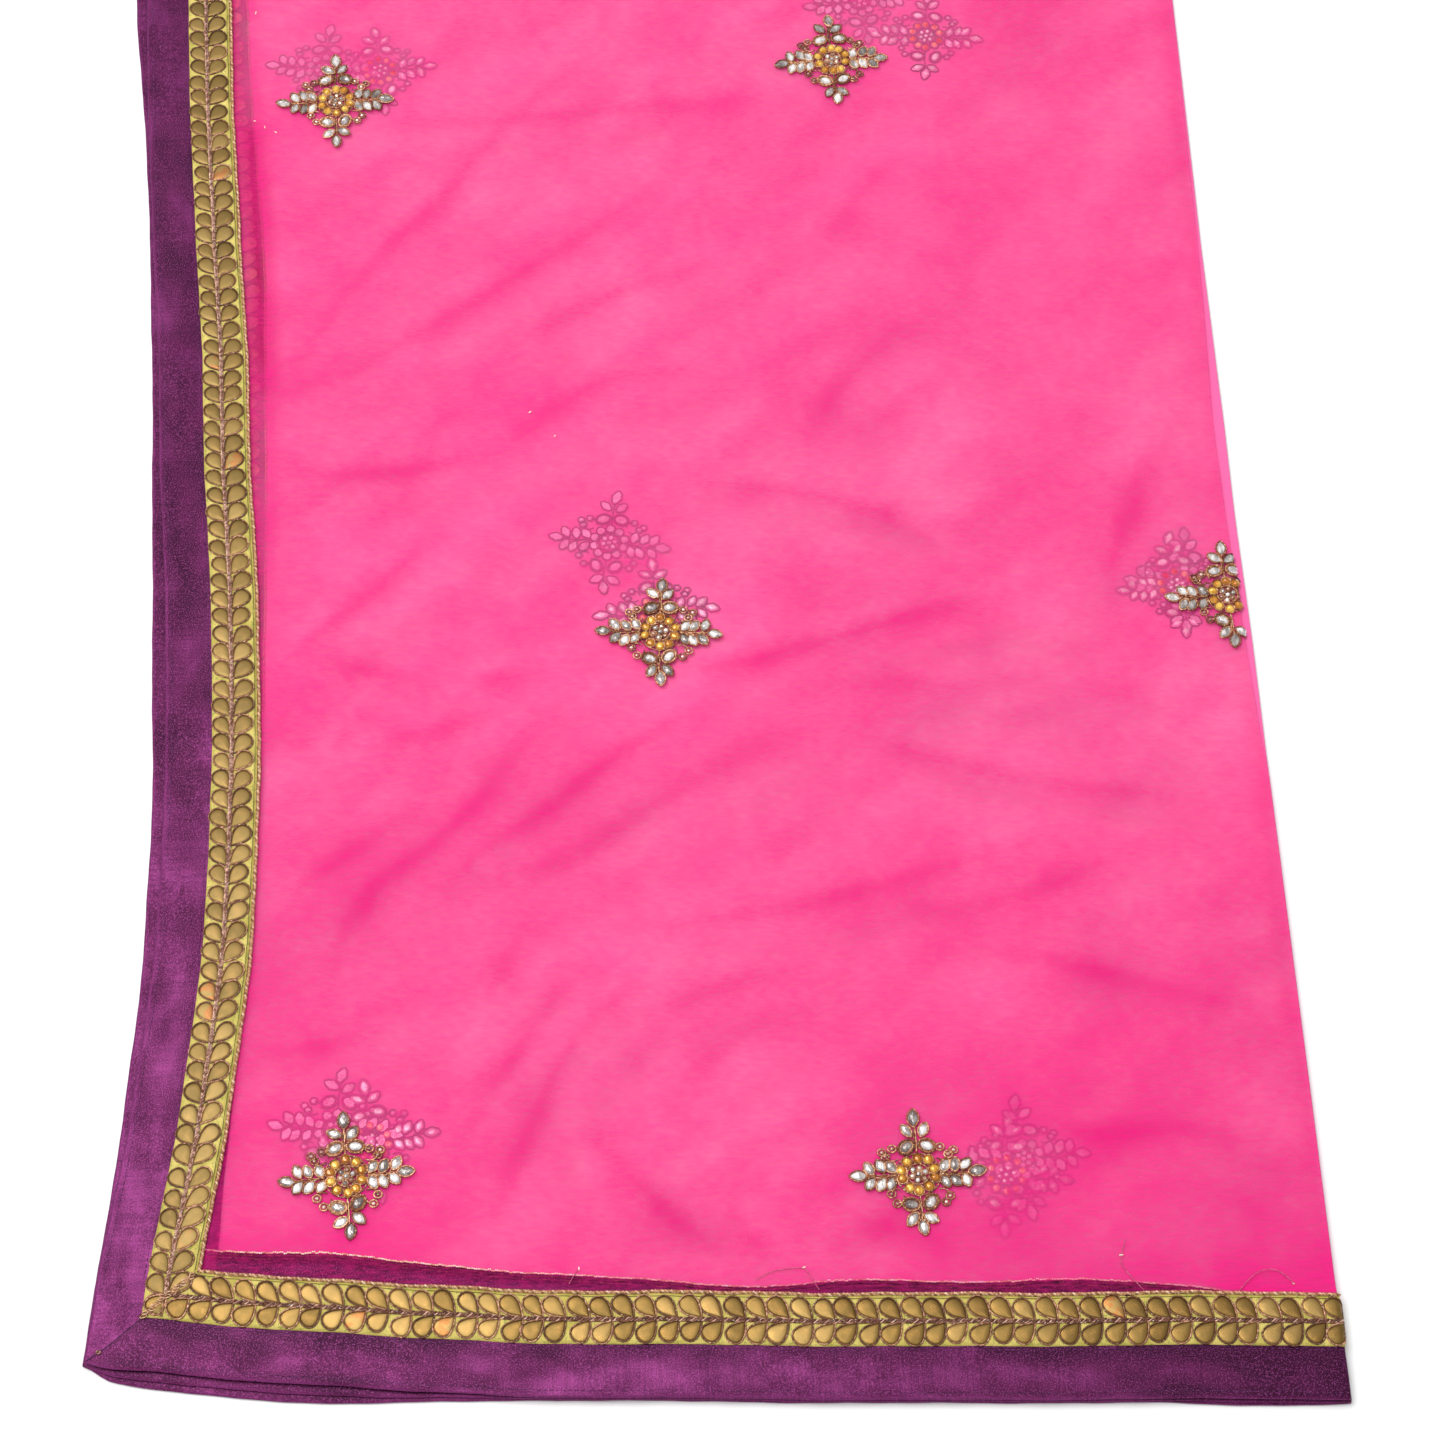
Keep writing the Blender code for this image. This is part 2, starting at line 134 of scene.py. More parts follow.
TURN_FAR = {"A": "D", "B": "C", "C": "B", "D": "A"}      # joined at the far fold

# creases of the net's top layer: depth and half-width, then the soft trough's
# course across the panel
CREASES = (
    # depth_mm, half_mm, course
    (0.95, 6.0, ((-.003, .343), (.030, .347), (.063, .356), (.097, .366), (.130, .373))),
    (0.60, 6.0, ((.010, .442), (.039, .439), (.067, .432), (.095, .421), (.113, .407))),
    (0.60, 5.0, ((-.196, .464), (-.172, .453), (-.138, .455), (-.114, .459), (-.095, .463))),
    (0.40, 5.0, ((-.202, .499), (-.163, .511), (-.119, .540), (-.090, .559), (-.060, .579),
                 (-.029, .602), (.001, .625))),
    (0.38, 4.5, ((-.188, .519), (-.169, .553), (-.140, .591), (-.115, .617), (-.100, .641),
                 (-.074, .672), (-.048, .696), (-.032, .728))),
    (0.35, 5.0, ((-.140, .661), (-.105, .659), (-.069, .662), (-.018, .666), (.044, .670))),
    (0.42, 7.0, ((-.080, .527), (-.060, .538), (-.041, .549), (-.016, .559), (.010, .567))),
    (0.42, 5.0, ((-.198, .349), (-.171, .372), (-.147, .392), (-.129, .413), (-.114, .426))),
    (0.45, 5.0, ((-.175, .353), (-.151, .348), (-.128, .341), (-.119, .336))),
    (0.32, 5.0, ((-.114, .341), (-.091, .342), (-.072, .344))),
    (0.38, 4.5, ((-.165, .306), (-.160, .322), (-.151, .325))),
    (0.42, 5.0, ((-.144, .313), (-.123, .314), (-.103, .321))),
    (0.38, 5.0, ((-.194, .297), (-.183, .310), (-.170, .321))),
    (0.38, 5.5, ((-.195, .228), (-.173, .247), (-.146, .265), (-.128, .277))),
    (0.62, 5.5, ((-.165, .198), (-.161, .217), (-.146, .241), (-.123, .257), (-.105, .274),
                 (-.091, .294), (-.082, .309))),
    (0.68, 5.5, ((-.112, .240), (-.101, .254), (-.078, .268), (-.055, .285), (-.036, .302),
                 (-.008, .319), (.011, .326))),
    (0.42, 7.5, ((-.074, .243), (-.046, .257), (-.018, .276), (.010, .292), (.042, .309))),
    (0.42, 5.5, ((-.047, .213), (-.002, .216), (.043, .222), (.079, .230), (.116, .241),
                 (.153, .252))),
    (0.50, 6.5, ((.079, .303), (.111, .291), (.142, .283), (.174, .276), (.228, .267))),
    (0.32, 6.0, ((.096, .215), (.133, .221), (.161, .230), (.189, .243))),
    (0.55, 5.5, ((.131, .197), (.166, .188), (.196, .178), (.235, .167))),
    (0.50, 6.5, ((.142, .117), (.168, .110), (.203, .112), (.233, .104))),
    (0.42, 5.5, ((-.191, .159), (-.171, .163), (-.149, .167))),
    (0.60, 7.5, ((-.096, .186), (-.087, .205), (-.078, .221))),
    (0.58, 5.5, ((-.107, .119), (-.092, .144), (-.079, .166), (-.065, .187))),
    (0.68, 5.5, ((-.095, .080), (-.086, .107), (-.075, .129), (-.066, .152), (-.048, .175),
                 (-.030, .188))),
    (0.85, 6.5, ((-.049, .115), (-.032, .094), (-.015, .075), (.001, .064))),
    (0.50, 7.5, ((.196, .372), (.201, .398), (.213, .425), (.220, .453))),
    (0.30, 7.0, ((.054, .464), (.081, .503), (.106, .526))),
    (0.30, 7.0, ((.075, .586), (.091, .610), (.108, .628))),
    (0.32, 6.0, ((-.039, .170), (-.012, .178), (.015, .187), (.051, .195))),
    (0.30, 6.0, ((.067, .331), (.095, .333), (.122, .329), (.160, .333))),
    (0.40, 5.5, ((.006, .083), (.010, .072), (.019, .062))),
    (0.42, 6.5, ((.053, .068), (.074, .073), (.099, .062))),
    (0.30, 5.5, ((-.081, .475), (-.061, .491), (-.032, .505), (.007, .506))),
    (0.30, 6.0, ((-.009, .141), (.005, .154), (.027, .170))),
    (0.45, 8.0, ((-.210, .780), (-.120, .800), (-.030, .790), (.050, .760))),
    (0.50, 8.0, ((.240, .820), (.160, .835), (.060, .870), (-.020, .910))),
    (0.45, 8.0, ((-.220, .900), (-.150, .880), (-.090, .850), (-.050, .805))),
    (0.55, 8.0, ((-.200, 1.02), (-.100, 1.00), (.010, 1.03), (.120, 1.02), (.230, 1.05))),
    (0.45, 8.0, ((-.180, 1.12), (-.060, 1.10), (.060, 1.12))),
    (0.40, 8.0, ((.080, .960), (.140, 1.00), (.190, 1.08))),
)
RIDGES = (
    # height_mm, half_mm, course
    (0.45, 5.0, ((-.081, .176), (-.074, .199), (-.065, .213), (-.038, .210))),
    (0.42, 4.5, ((-.109, .106), (-.097, .132), (-.077, .159), (-.065, .175))),
    (0.35, 6.0, ((-.062, .129), (-.058, .110), (-.049, .090))),
    (0.35, 6.0, ((.008, .076), (.022, .090), (.037, .098))),
    (0.40, 6.0, ((.137, .374), (.165, .402), (.196, .426))),
    (0.30, 7.0, ((-.166, .364), (-.138, .378), (-.110, .399))),
    (0.30, 6.0, ((-.119, .330), (-.096, .349), (-.072, .355))),
)

# ------------------------------------------------------------------ embroidery
TOP_BOOTIS = (
    # name,       x,      y,      turn_deg
    ("01", -0.1730, 0.6740, 2.0),
    ("02", 0.0815, 0.6910, 3.0),
    ("03", -0.0160, 0.3620, -3.0),
    ("04", 0.2515, 0.3720, 2.0),
    ("05", -0.1585, 0.1020, 4.0),
    ("06", 0.0880, 0.0940, 1.0),
    ("07", -0.0400, 0.9640, 0.0),
    ("08", 0.2150, 0.9600, -2.0),
)
HIDDEN_BOOTIS = {
    "B": ((-0.1800, 0.6960, -8.0), (0.0980, 0.7300, 6.0), (-0.0390, 0.4120, -9.0),
          (0.2325, 0.3810, -4.0), (-0.1640, 0.1240, -6.0), (0.1340, 0.1000, 4.0),
          (-0.0560, 0.9880, 5.0), (0.2000, 0.9800, -5.0)),
    "C": ((-0.1510, 0.6940, 6.0), (0.1310, 0.7060, -5.0), (-0.0170, 0.3740, 4.0),
          (0.2285, 0.3790, 4.0), (-0.1480, 0.1180, 8.0), (0.1260, 0.0930, -6.0),
          (-0.0300, 0.9500, -5.0), (0.2100, 0.9440, 4.0)),
    "D": ((-0.1900, 0.6700, 3.0), (0.1500, 0.6980, 0.0), (-0.0280, 0.3900, -3.0),
          (0.2150, 0.3620, 2.0), (-0.1700, 0.1080, -4.0), (0.1100, 0.0860, 2.0),
          (-0.0480, 0.9700, 2.0), (0.1940, 0.9560, 3.0)),
}
# silver stones: place, direction of the long axis, length and width, in mm
SILVER = (
    # x,     y,    angle, length, width
    (-12.1, 3.4, 118, 5.4, 3.7),
    (-17.0, 4.0, 116, 5.6, 3.7),
    (-22.0, 4.0, 122, 5.6, 3.6),
    (-12.1, -3.6, -118, 5.4, 3.6),
    (-17.2, -4.0, -122, 5.6, 3.7),
    (-21.8, -3.4, -126, 5.6, 3.6),
    (-27.0, 0.2, 172, 6.6, 3.8),
    (12.0, 3.6, 62, 5.4, 3.7),
    (16.9, 3.9, 60, 5.6, 3.7),
    (21.9, 3.8, 56, 5.8, 3.7),
    (11.8, -3.8, -64, 5.4, 3.6),
    (16.6, -4.0, -60, 5.6, 3.7),
    (21.4, -3.7, -58, 5.6, 3.7),
    (27.0, -0.2, -8, 6.6, 3.9),
    (-4.1, 20.9, 148, 6.2, 3.5),
    (3.6, 20.8, 42, 6.0, 3.6),
    (0.0, 26.2, 90, 6.6, 3.9),
    (-3.9, -21.0, -140, 6.0, 3.5),
    (4.3, -20.6, -36, 6.0, 3.5),
    (0.3, -25.4, -90, 6.4, 3.8),
)
OVALS = (
    # x,    y,     angle
    (-4.6, 13.4, 24),
    (4.8, 13.5, -20),
    (-4.6, -13.8, -20),
    (4.8, -13.2, 44),
)
AMBER_COUNT, AMBER_R, AMBER_D = 10, 7.7, 4.1
CURLS = (
    # bead_x, bead_y, root_x, root_y, bulge
    (-13.9, 8.6, -8.6, 7.4, 1.6),
    (-11.4, 12.6, -7.6, 9.6, -1.2),
    (10.9, 12.4, 7.2, 9.8, 1.3),
    (13.9, 8.6, 8.8, 7.2, -1.6),
    (-13.4, -8.8, -8.8, -7.0, -1.5),
    (-10.6, -13.2, -7.2, -9.8, 1.2),
    (13.8, -10.4, 8.6, -7.2, 1.5),
    (11.2, -13.6, 7.6, -9.6, -1.3),
    (-15.6, 10.8, -12.0, 9.8, 0.8),
    (15.8, 10.6, 12.2, 9.4, -0.8),
)


# ------------------------------------------------------------------ tables
def curve_of(table, column=1):
    """Smooth monotone curve through a table's column."""
    xs = np.array([row[0] for row in table], float)
    ys = np.array([row[column] for row in table], float)
    run, rise = np.diff(xs), np.diff(ys)
    slope = rise / run
    tangent = np.zeros_like(ys)
    same = slope[:-1] * slope[1:] > 0
    total = np.where(same, slope[:-1] + slope[1:], 1.0)
    tangent[1:-1] = np.where(same, 2 * slope[:-1] * slope[1:] / total, 0.0)
    tangent[0], tangent[-1] = slope[0], slope[-1]

    def at(x):
        x = np.clip(np.asarray(x, float), xs[0], xs[-1])
        k = np.clip(np.searchsorted(xs, x) - 1, 0, len(run) - 1)
        t = (x - xs[k]) / run[k]
        return ((2 * t ** 3 - 3 * t ** 2 + 1) * ys[k]
                + (t ** 3 - 2 * t ** 2 + t) * run[k] * tangent[k]
                + (3 * t ** 2 - 2 * t ** 3) * ys[k + 1]
                + (t ** 3 - t ** 2) * run[k] * tangent[k + 1])
    return at


top_side, low_side = curve_of(SIDE_EDGE, 1), curve_of(SIDE_EDGE, 2)
top_end, low_end = curve_of(END_EDGE, 1), curve_of(END_EDGE, 2)
c_shift, b_shift, b_side = curve_of(C_SHIFT), curve_of(B_SHIFT), curve_of(B_SIDE)
lower_fold = curve_of(LOWER_FOLD)
upper_in, lower_in = curve_of(FOLD_IN, 1), curve_of(FOLD_IN, 2)
face_of = {k: curve_of(v) for k, v in FACE.items()}
net_of = {k: curve_of(v) for k, v in NET.items()}


def wobble(s, seed, size):
    """A slow, uneven wander, for hand-sewn edges."""
    return size * (np.sin(s * 61.0 + seed) * 0.5 + np.sin(s * 143.0 + seed * 2.3) * 0.3
                   + np.sin(s * 331.0 + seed * 5.1) * 0.2)


def side_edge(layer, y):
    """Where a layer's bordered side lies."""
    y = np.asarray(y, float)
    if layer == "A":
        return top_side(y) + wobble(y, 1.0, 0.0003)
    if layer == "B":
        return top_side(y) + b_side(y) + wobble(y, 4.0, 0.0004)
    if layer == "C":
        return top_side(y) + c_shift(y) + wobble(y, 7.0, 0.0004)
    return low_side(y) + wobble(y, 9.0, 0.0003)


def end_edge(layer, x):
    """Where a layer's bordered end lies."""
    x = np.asarray(x, float)
    if layer == "A":
        return top_end(x) + wobble(x, 2.0, 0.0003)
    if layer == "B":
        return top_end(x) + b_shift(x) + wobble(x, 5.0, 0.0004)
    if layer == "C":
        return top_end(x) * 0.45 + low_end(x) * 0.55 + wobble(x, 8.0, 0.0004)
    return low_end(x) + wobble(x, 3.0, 0.0003)


def fold_x(layer, y):
    return NOSE_X + (-upper_in(y) if layer in "AB" else lower_fold(y) - lower_in(y))


def course_field(x, y, course, half, depth):
    """A soft trough along a course, fading at both its ends."""
    best = np.full(x.shape, 1e9)
    part = np.zeros(x.shape)
    points = np.array(course)
    steps = np.hypot(*(points[1:] - points[:-1]).T)
    total, done = steps.sum(), 0.0
    for p, q, step in zip(points[:-1], points[1:], steps):
        t = ((x - p[0]) * (q[0] - p[0]) + (y - p[1]) * (q[1] - p[1])) / step ** 2
        inner = np.clip(t, 0.0, 1.0)
        away = np.hypot(x - p[0] - inner * (q[0] - p[0]), y - p[1] - inner * (q[1] - p[1]))
        near = away < best
        best = np.where(near, away, best)
        part = np.where(near, (done + np.clip(t, 0, 1) * step) / total, part)
        done += step
    fade = np.sin(np.pi * (0.10 + 0.82 * part)) ** 0.7
    sway = 1.0 + 0.25 * np.sin(part * 9.0 + course[0][0] * 80.0)
    return depth * fade * sway * np.exp(-(best / (half * sway)) ** 2)


def smoothstep(v):
    v = np.clip(v, 0.0, 1.0)
    return v * v * (3 - 2 * v)


MIRRORED = {"B": (0.021, -0.016, 0.55), "C": (-0.024, 0.013, 0.5), "D": (0.012, 0.027, 0.5)}


GRID_STEP = 0.002
GRID_X = np.arange(-0.300, 0.276, GRID_STEP)
GRID_Y = np.arange(-0.030, 1.216, GRID_STEP)
relief_grids = {}


def relief_grid(layer):
    """Creases of a layer on a fine grid: height, and how creased from 0 to 1; the crease value darkens the
    net, partly for the doubled net of a fold and partly as painted shade, and lightens it on ridges as
    painted highlight.
    """
    dx, dy, gain = MIRRORED.get(layer, (0.0, 0.0, 1.0))
    x, y = np.meshgrid(GRID_X, GRID_Y, indexing="ij")
    height, crease_and_shade = np.zeros(x.shape), np.zeros(x.shape)

    def lay(into, course, half, size, sx=0.0, sy=0.0):
        points = np.array(course) + (dx + sx, dy + sy)
        reach = half * 3.2
        i0, i1 = np.searchsorted(GRID_X, (points[:, 0].min() - reach, points[:, 0].max() + reach))
        j0, j1 = np.searchsorted(GRID_Y, (points[:, 1].min() - reach, points[:, 1].max() + reach))
        part = (slice(i0, i1), slice(j0, j1))
        if i1 > i0 and j1 > j0:
            into[part] += course_field(x[part], y[part], points, half, 1.0) * size

    for depth, half, course in CREASES:
        lay(height, course, half * MM, -depth * MM * gain)
        # darker along each crease: partly the doubled net, partly painted shade
        lay(crease_and_shade, course, max(half * 0.62, 3.6) * MM, 0.50 * math.sqrt(depth) * gain)
        # broad painted shade beside each crease, offset to one side
        lay(crease_and_shade, course, half * 1.5 * MM, 0.30 * math.sqrt(depth) * gain, -0.002, -0.003)
        # the cloth stands up a little beside each trough
        lay(height, course, half * MM * 0.9, depth * MM * gain * 0.55, 0.006, 0.009)
    for tall, half, course in RIDGES:
        lay(height, course, half * MM, tall * MM * gain)
        # painted highlight along each ridge
        lay(crease_and_shade, course, half * 0.9 * MM, -0.45 * math.sqrt(tall) * gain)
    height += 0.00012 * gain * (np.sin(x * 95 + y * 40 + 1.3) * np.sin(y * 83 - x * 31)
                                + 0.6 * np.sin(x * 210 - y * 120) * np.sin(y * 190 + x * 60))
    inset = np.minimum(x - side_edge(layer, y), y - end_edge(layer, x))
    fade = smoothstep((inset - 0.046) / 0.022)
    fade *= smoothstep((FOLD_X - 0.002 - x) / 0.02) * smoothstep((FAR_Y - 0.004 - y) / 0.03)
    if layer == "D":
        height = height * 0.35
    return np.clip(height, -0.0011, 0.0009) * fade, np.clip(crease_and_shade, -0.5, 1.0) * fade


def relief(layer, x, y):
    """A layer's creases at any points, read between the grid's own."""
    if layer not in relief_grids:
        relief_grids[layer] = relief_grid(layer)
    i = np.clip((np.asarray(x, float) - GRID_X[0]) / GRID_STEP, 0, len(GRID_X) - 1.001)
    j = np.clip((np.asarray(y, float) - GRID_Y[0]) / GRID_STEP, 0, len(GRID_Y) - 1.001)
    i0, j0 = i.astype(int), j.astype(int)
    u, v = i - i0, j - j0
    out = []
    for grid in relief_grids[layer]:
        out.append((grid[i0, j0] * (1 - u) + grid[i0 + 1, j0] * u) * (1 - v)
                   + (grid[i0, j0 + 1] * (1 - u) + grid[i0 + 1, j0 + 1] * u) * v)
    return out


def cloud(x, y, cell, seed):
    """Soft random patches of about a cell's size, from -1 to 1."""
    grid = np.random.default_rng(seed).uniform(-1, 1, (int(1.6 / cell) + 4, int(1.9 / cell) + 4))
    i, j = (np.asarray(x) + 0.5) / cell, (np.asarray(y) + 0.4) / cell
    i0, j0 = np.floor(i).astype(int), np.floor(j).astype(int)
    u, v = smoothstep(i - i0), smoothstep(j - j0)
    return ((grid[i0, j0] * (1 - u) + grid[i0 + 1, j0] * u) * (1 - v)
            + (grid[i0, j0 + 1] * (1 - u) + grid[i0 + 1, j0 + 1] * u) * v)


def density_and_shade_of(layer, x, y, crease_and_shade):
    """How much denser than usual the net is: patches and creases, and more near its borders; the creases and
    the border terms are partly painted shade, and the rise beside layer C's lace strip is painted shadow.
    """
    k = ord(layer)
    lean = x * 0.83 + y * 0.56, y * 0.83 - x * 0.56
    mottled = (0.070 * cloud(x, y, 0.085, k) + 0.090 * cloud(lean[0] * 0.5, lean[1], 0.030, k + 10)
               + 0.080 * cloud(lean[0] * 0.5, lean[1], 0.014, k + 20)
               + 0.045 * cloud(x, y, 0.0085, k + 30))
    out = mottled + crease_and_shade * 0.35
    if layer == "A":
        side, near = x - side_edge("A", y) - BORDER_W, y - end_edge("A", x) - BORDER_END_W
        # denser near the bordered end and side, most towards the right and at the corner: partly the net's
        # own cover, partly painted shade
        out = out + 0.17 * np.exp(-np.maximum(near, 0) / 0.040)
        out = out + 0.24 * smoothstep((x - 0.02) / 0.20) * np.exp(-np.maximum(near, 0) / 0.125)
        out = out + 0.15 * np.exp(-np.hypot(np.maximum(side, 0), np.maximum(near, 0)) / 0.060)
        out = out + 0.045 * np.exp(-np.maximum(side, 0) / 0.025)
        # painted shadow on the net beside layer C's lace strip
        strip = x - side_edge("C", y) - BORDER_W - 0.0022
        shown = smoothstep((c_shift(y) - 0.002) / 0.004)
        out = out + 0.13 * shown * np.exp(-(np.maximum(strip, 0) / 0.0040) ** 2) * (strip > -0.001)
        # thinner where the next layer's satin shows through, beside the end's cord
        over = smoothstep((b_shift(x) + 0.0010 - near) / 0.0016) * (side > b_side(y))
        out = out * (1 - over) - 0.17 * over
        over = smoothstep((b_side(y) + 0.0010 - side) / 0.0016) * (b_side(y) > 0.001)
        out = out * (1 - over) - 0.04 * over
    if layer in "CD":
        out = out + 0.75 * smoothstep((x - FOLD_X + 0.013) / 0.006)
    return out


def painted_shade_over_lace(layer, x, y):
    """Where an inner layer lies right on the next one's lace and takes its deep tone: painted shade over the
    lace.
    """
    if layer != "B":
        return 0.0 * x
    inset = x - side_edge("C", y)
    shown = smoothstep((c_shift(y) - 0.001) / 0.003)
    return shown * smoothstep((inset - 0.028) / 0.004) * smoothstep((BORDER_W + 0.001 - inset) / 0.002)


def net_height(layer, x, y, with_relief=True):
    inset = np.maximum(0.0, np.minimum(x - side_edge(layer, y), y - end_edge(layer, x)))
    z = net_of[layer](inset)
    if with_relief:
        z = z + relief(layer, x, y)[0]
    if layer != "D":
        z = np.maximum(z, net_height(BELOW[layer], x, y, with_relief) + 0.0003)
    return z


# ------------------------------------------------------------------ strip maps
def corner_start(layer, t, ratio=BORDER_END_W / BORDER_W):
    """Where the mitre crosses a strip line at inset t from the bordered side."""
    x = np.full(np.shape(t), -0.26)
    y = np.full(np.shape(t), 0.03)
    for _ in range(8):
        x = side_edge(layer, y) + t
        y = end_edge(layer, x) + t * ratio
    return x, y


def side_map(layer, s, t, h):
    """Strip along the bordered side: s runs up the side and on round the far
    fold's first quarter, t is the inset, h the height above the strip's face."""
    other = TURN_FAR[layer]
    flat = np.minimum(s, NOSE_Y)
    angle = np.clip((s - NOSE_Y) / FAR_ARC, 0.0, 1.0) * math.pi / 2
    near = np.stack([side_edge(layer, flat) + t, flat,
                     face_of[layer](t) + UP[layer] * h], -1)
    away = np.stack([side_edge(other, flat) + t, flat,
                     face_of[other](t) + UP[other] * h], -1)
    return turn(near, away, angle, 1)


def turn(near, away, angle, axis):
    share = ((1.0 + np.cos(angle)) / 2)[..., None]
    out = near * share + away * (1 - share)
    out[..., axis] += np.abs(near[..., 2] - away[..., 2]) / 2 * np.sin(angle)
    return out


def end_map(layer, s, t, h):
    """Strip along the bordered end: s runs to the right and on round the
    lengthwise fold's first half of the turn."""
    other = TURN_SIDE[layer]
    stop = fold_x(layer, 0.02)
    flat = np.minimum(s, stop)
    angle = np.clip((s - stop) / (SIDE_ARC / 2), 0.0, 1.0) * math.pi / 2
    near = np.stack([flat, end_edge(layer, flat) + t,
                     face_of[layer](t) + UP[layer] * h], -1)
    away = np.stack([flat, end_edge(other, flat) + t,
                     face_of[other](t) + UP[other] * h], -1)
    return turn(near, away, angle, 0)


# ------------------------------------------------------------------ mesh kit
class Soup:
    """Collects many small shapes into one mesh."""

    def __init__(self):
        self.points, self.faces, self.mats, self.smooth = [], [], [], []
        self.tone, self.strip, self.count = [], [], 0

    def add(self, points, faces, mat=0, smooth=True, tone=0.5, strip=None):
        points = np.asarray(points, float).reshape(-1, 3)
        n = len(points)
        self.points.append(points)
        for block in faces:
            block = np.asarray(block, int)
            if len(block):
                self.faces.append(block + self.count)
                self.mats.append(np.full(len(block), mat))
                self.smooth.append(np.full(len(block), smooth))
        self.tone.append(np.broadcast_to(np.asarray(tone, float), (n,)))
        self.strip.append(np.zeros((n, 3)) if strip is None else np.asarray(strip, float))
        self.count += n

    def spread(self, shape, places, warp, mat=0, smooth=True, tone=None):
        """Copies one template to many places: (s, t, h, angle, scale) each."""
        points, faces = shape
        s, t, h, angle, scale = (np.asarray(c, float)[:, None] for c in places)
        px, py, pz = points[:, 0], points[:, 1], points[:, 2]
        c, sn = np.cos(angle), np.sin(angle)
        x = s + (px * c - py * sn) * scale
        y = t + (px * sn + py * c) * scale
        z = h + pz * scale
        k, m = x.shape
        out = warp(x.ravel(), y.ravel(), z.ravel())
        shift = (np.arange(k) * m)[:, None, None]
        blocks = [(np.asarray(b, int)[None] + shift).reshape(-1, len(b[0]))
                  for b in faces if len(b)]
        tones = 0.5 if tone is None else np.repeat(np.asarray(tone, float), m)
        strip = np.stack([x.ravel(), y.ravel(), z.ravel()], -1)
        self.add(out, blocks, mat, smooth, tones, strip)

    def build(self, name, mats):
        points = np.concatenate(self.points) + np.array([OX, OY, 0.0])
        points[:, 2] = np.maximum(points[:, 2], 0.00004)
        faces = [f for block in self.faces for f in block.tolist()]
        mesh = bpy.data.meshes.new(name)
        mesh.from_pydata(points.tolist(), [], faces)
        mesh.polygons.foreach_set("material_index", np.concatenate(self.mats).astype(np.int32))
        mesh.polygons.foreach_set("use_smooth", np.concatenate(self.smooth).astype(bool))
        tone = mesh.attributes.new("tone", "FLOAT", "POINT")
        tone.data.foreach_set("value", np.concatenate(self.tone).astype(np.float32))
        strip = mesh.attributes.new("strip", "FLOAT_VECTOR", "POINT")
        strip.data.foreach_set("vector", np.concatenate(self.strip).astype(np.float32).ravel())
        for m in mats:
            mesh.materials.append(m)
        mesh.update()
        obj = bpy.data.objects.new(name, mesh)
        bpy.context.scene.collection.objects.link(obj)
        return obj


def grid_faces(cols, rows, wrap_cols=False, flip=False):
    """Quads of a grid whose point (i, j) has index i * rows + j."""
    i = np.arange(cols if wrap_cols else cols - 1)[:, None]
    j = np.arange(rows - 1)[None]
    a, b = i * rows + j, ((i + 1) % cols) * rows + j
    quads = np.stack([a, b, b + 1, a + 1], -1).reshape(-1, 4)
    return quads[:, ::-1] if flip else quads


def tube(path, radius, sides=6, closed=False):
    """A round wire along a path, with capped ends."""
    path = np.asarray(path, float)
    n = len(path)
    if closed:
        ahead = np.roll(path, -1, 0) - np.roll(path, 1, 0)
    else:
        ahead = np.gradient(path, axis=0)
    ahead /= np.maximum(np.linalg.norm(ahead, axis=1), 1e-12)[:, None]
    up = np.tile([0.0, 0.0, 1.0], (n, 1))
    side = np.cross(ahead, up)
    size = np.linalg.norm(side, axis=1)
    side[size < 1e-6] = (1.0, 0.0, 0.0)
    side /= np.maximum(np.linalg.norm(side, axis=1), 1e-12)[:, None]
    up = np.cross(side, ahead)
    angle = np.linspace(0, 2 * math.pi, sides, endpoint=False)
    radius = np.broadcast_to(np.asarray(radius, float), (n,))[:, None, None]
    ring = (side[:, None] * np.cos(angle)[None, :, None]
            + up[:, None] * np.sin(angle)[None, :, None]) * radius
    points = (path[:, None] + ring).reshape(-1, 3)
    i = np.arange(n if closed else n - 1)[:, None]
    j = np.arange(sides)[None]
    a, b = i * sides + j, ((i + 1) % n) * sides + j
    a2, b2 = i * sides + (j + 1) % sides, ((i + 1) % n) * sides + (j + 1) % sides
    faces = [np.stack([a, a2, b2, b], -1).reshape(-1, 4)]
    if not closed:
        caps = np.array([[list(range(sides))[::-1], [(n - 1) * sides + k for k in range(sides)]]])
        faces.append(caps[0])
    return points, faces


def almond(length, width, count, point=1.35):
    """Outline of a stone that is pointed at both its ends."""
    a = np.linspace(0, 2 * math.pi, count, endpoint=False)
    return np.stack([length / 2 * np.cos(a),
                     width / 2 * np.sign(np.sin(a)) * np.abs(np.sin(a)) ** point], -1)


def oval(length, width, count):
    a = np.linspace(0, 2 * math.pi, count, endpoint=False)
    return np.stack([length / 2 * np.cos(a), width / 2 * np.sin(a)], -1)


def teardrop(length, width, count):
    """Outline of a leaf with its point at the origin."""
    a = np.linspace(0, 2 * math.pi, count, endpoint=False)
    x = length * (1 - np.cos(a)) / 2
    y = np.sin(a) * np.abs(np.sin(a / 2)) ** 1.1
    return np.stack([x, y / np.abs(y).max() * width / 2], -1)


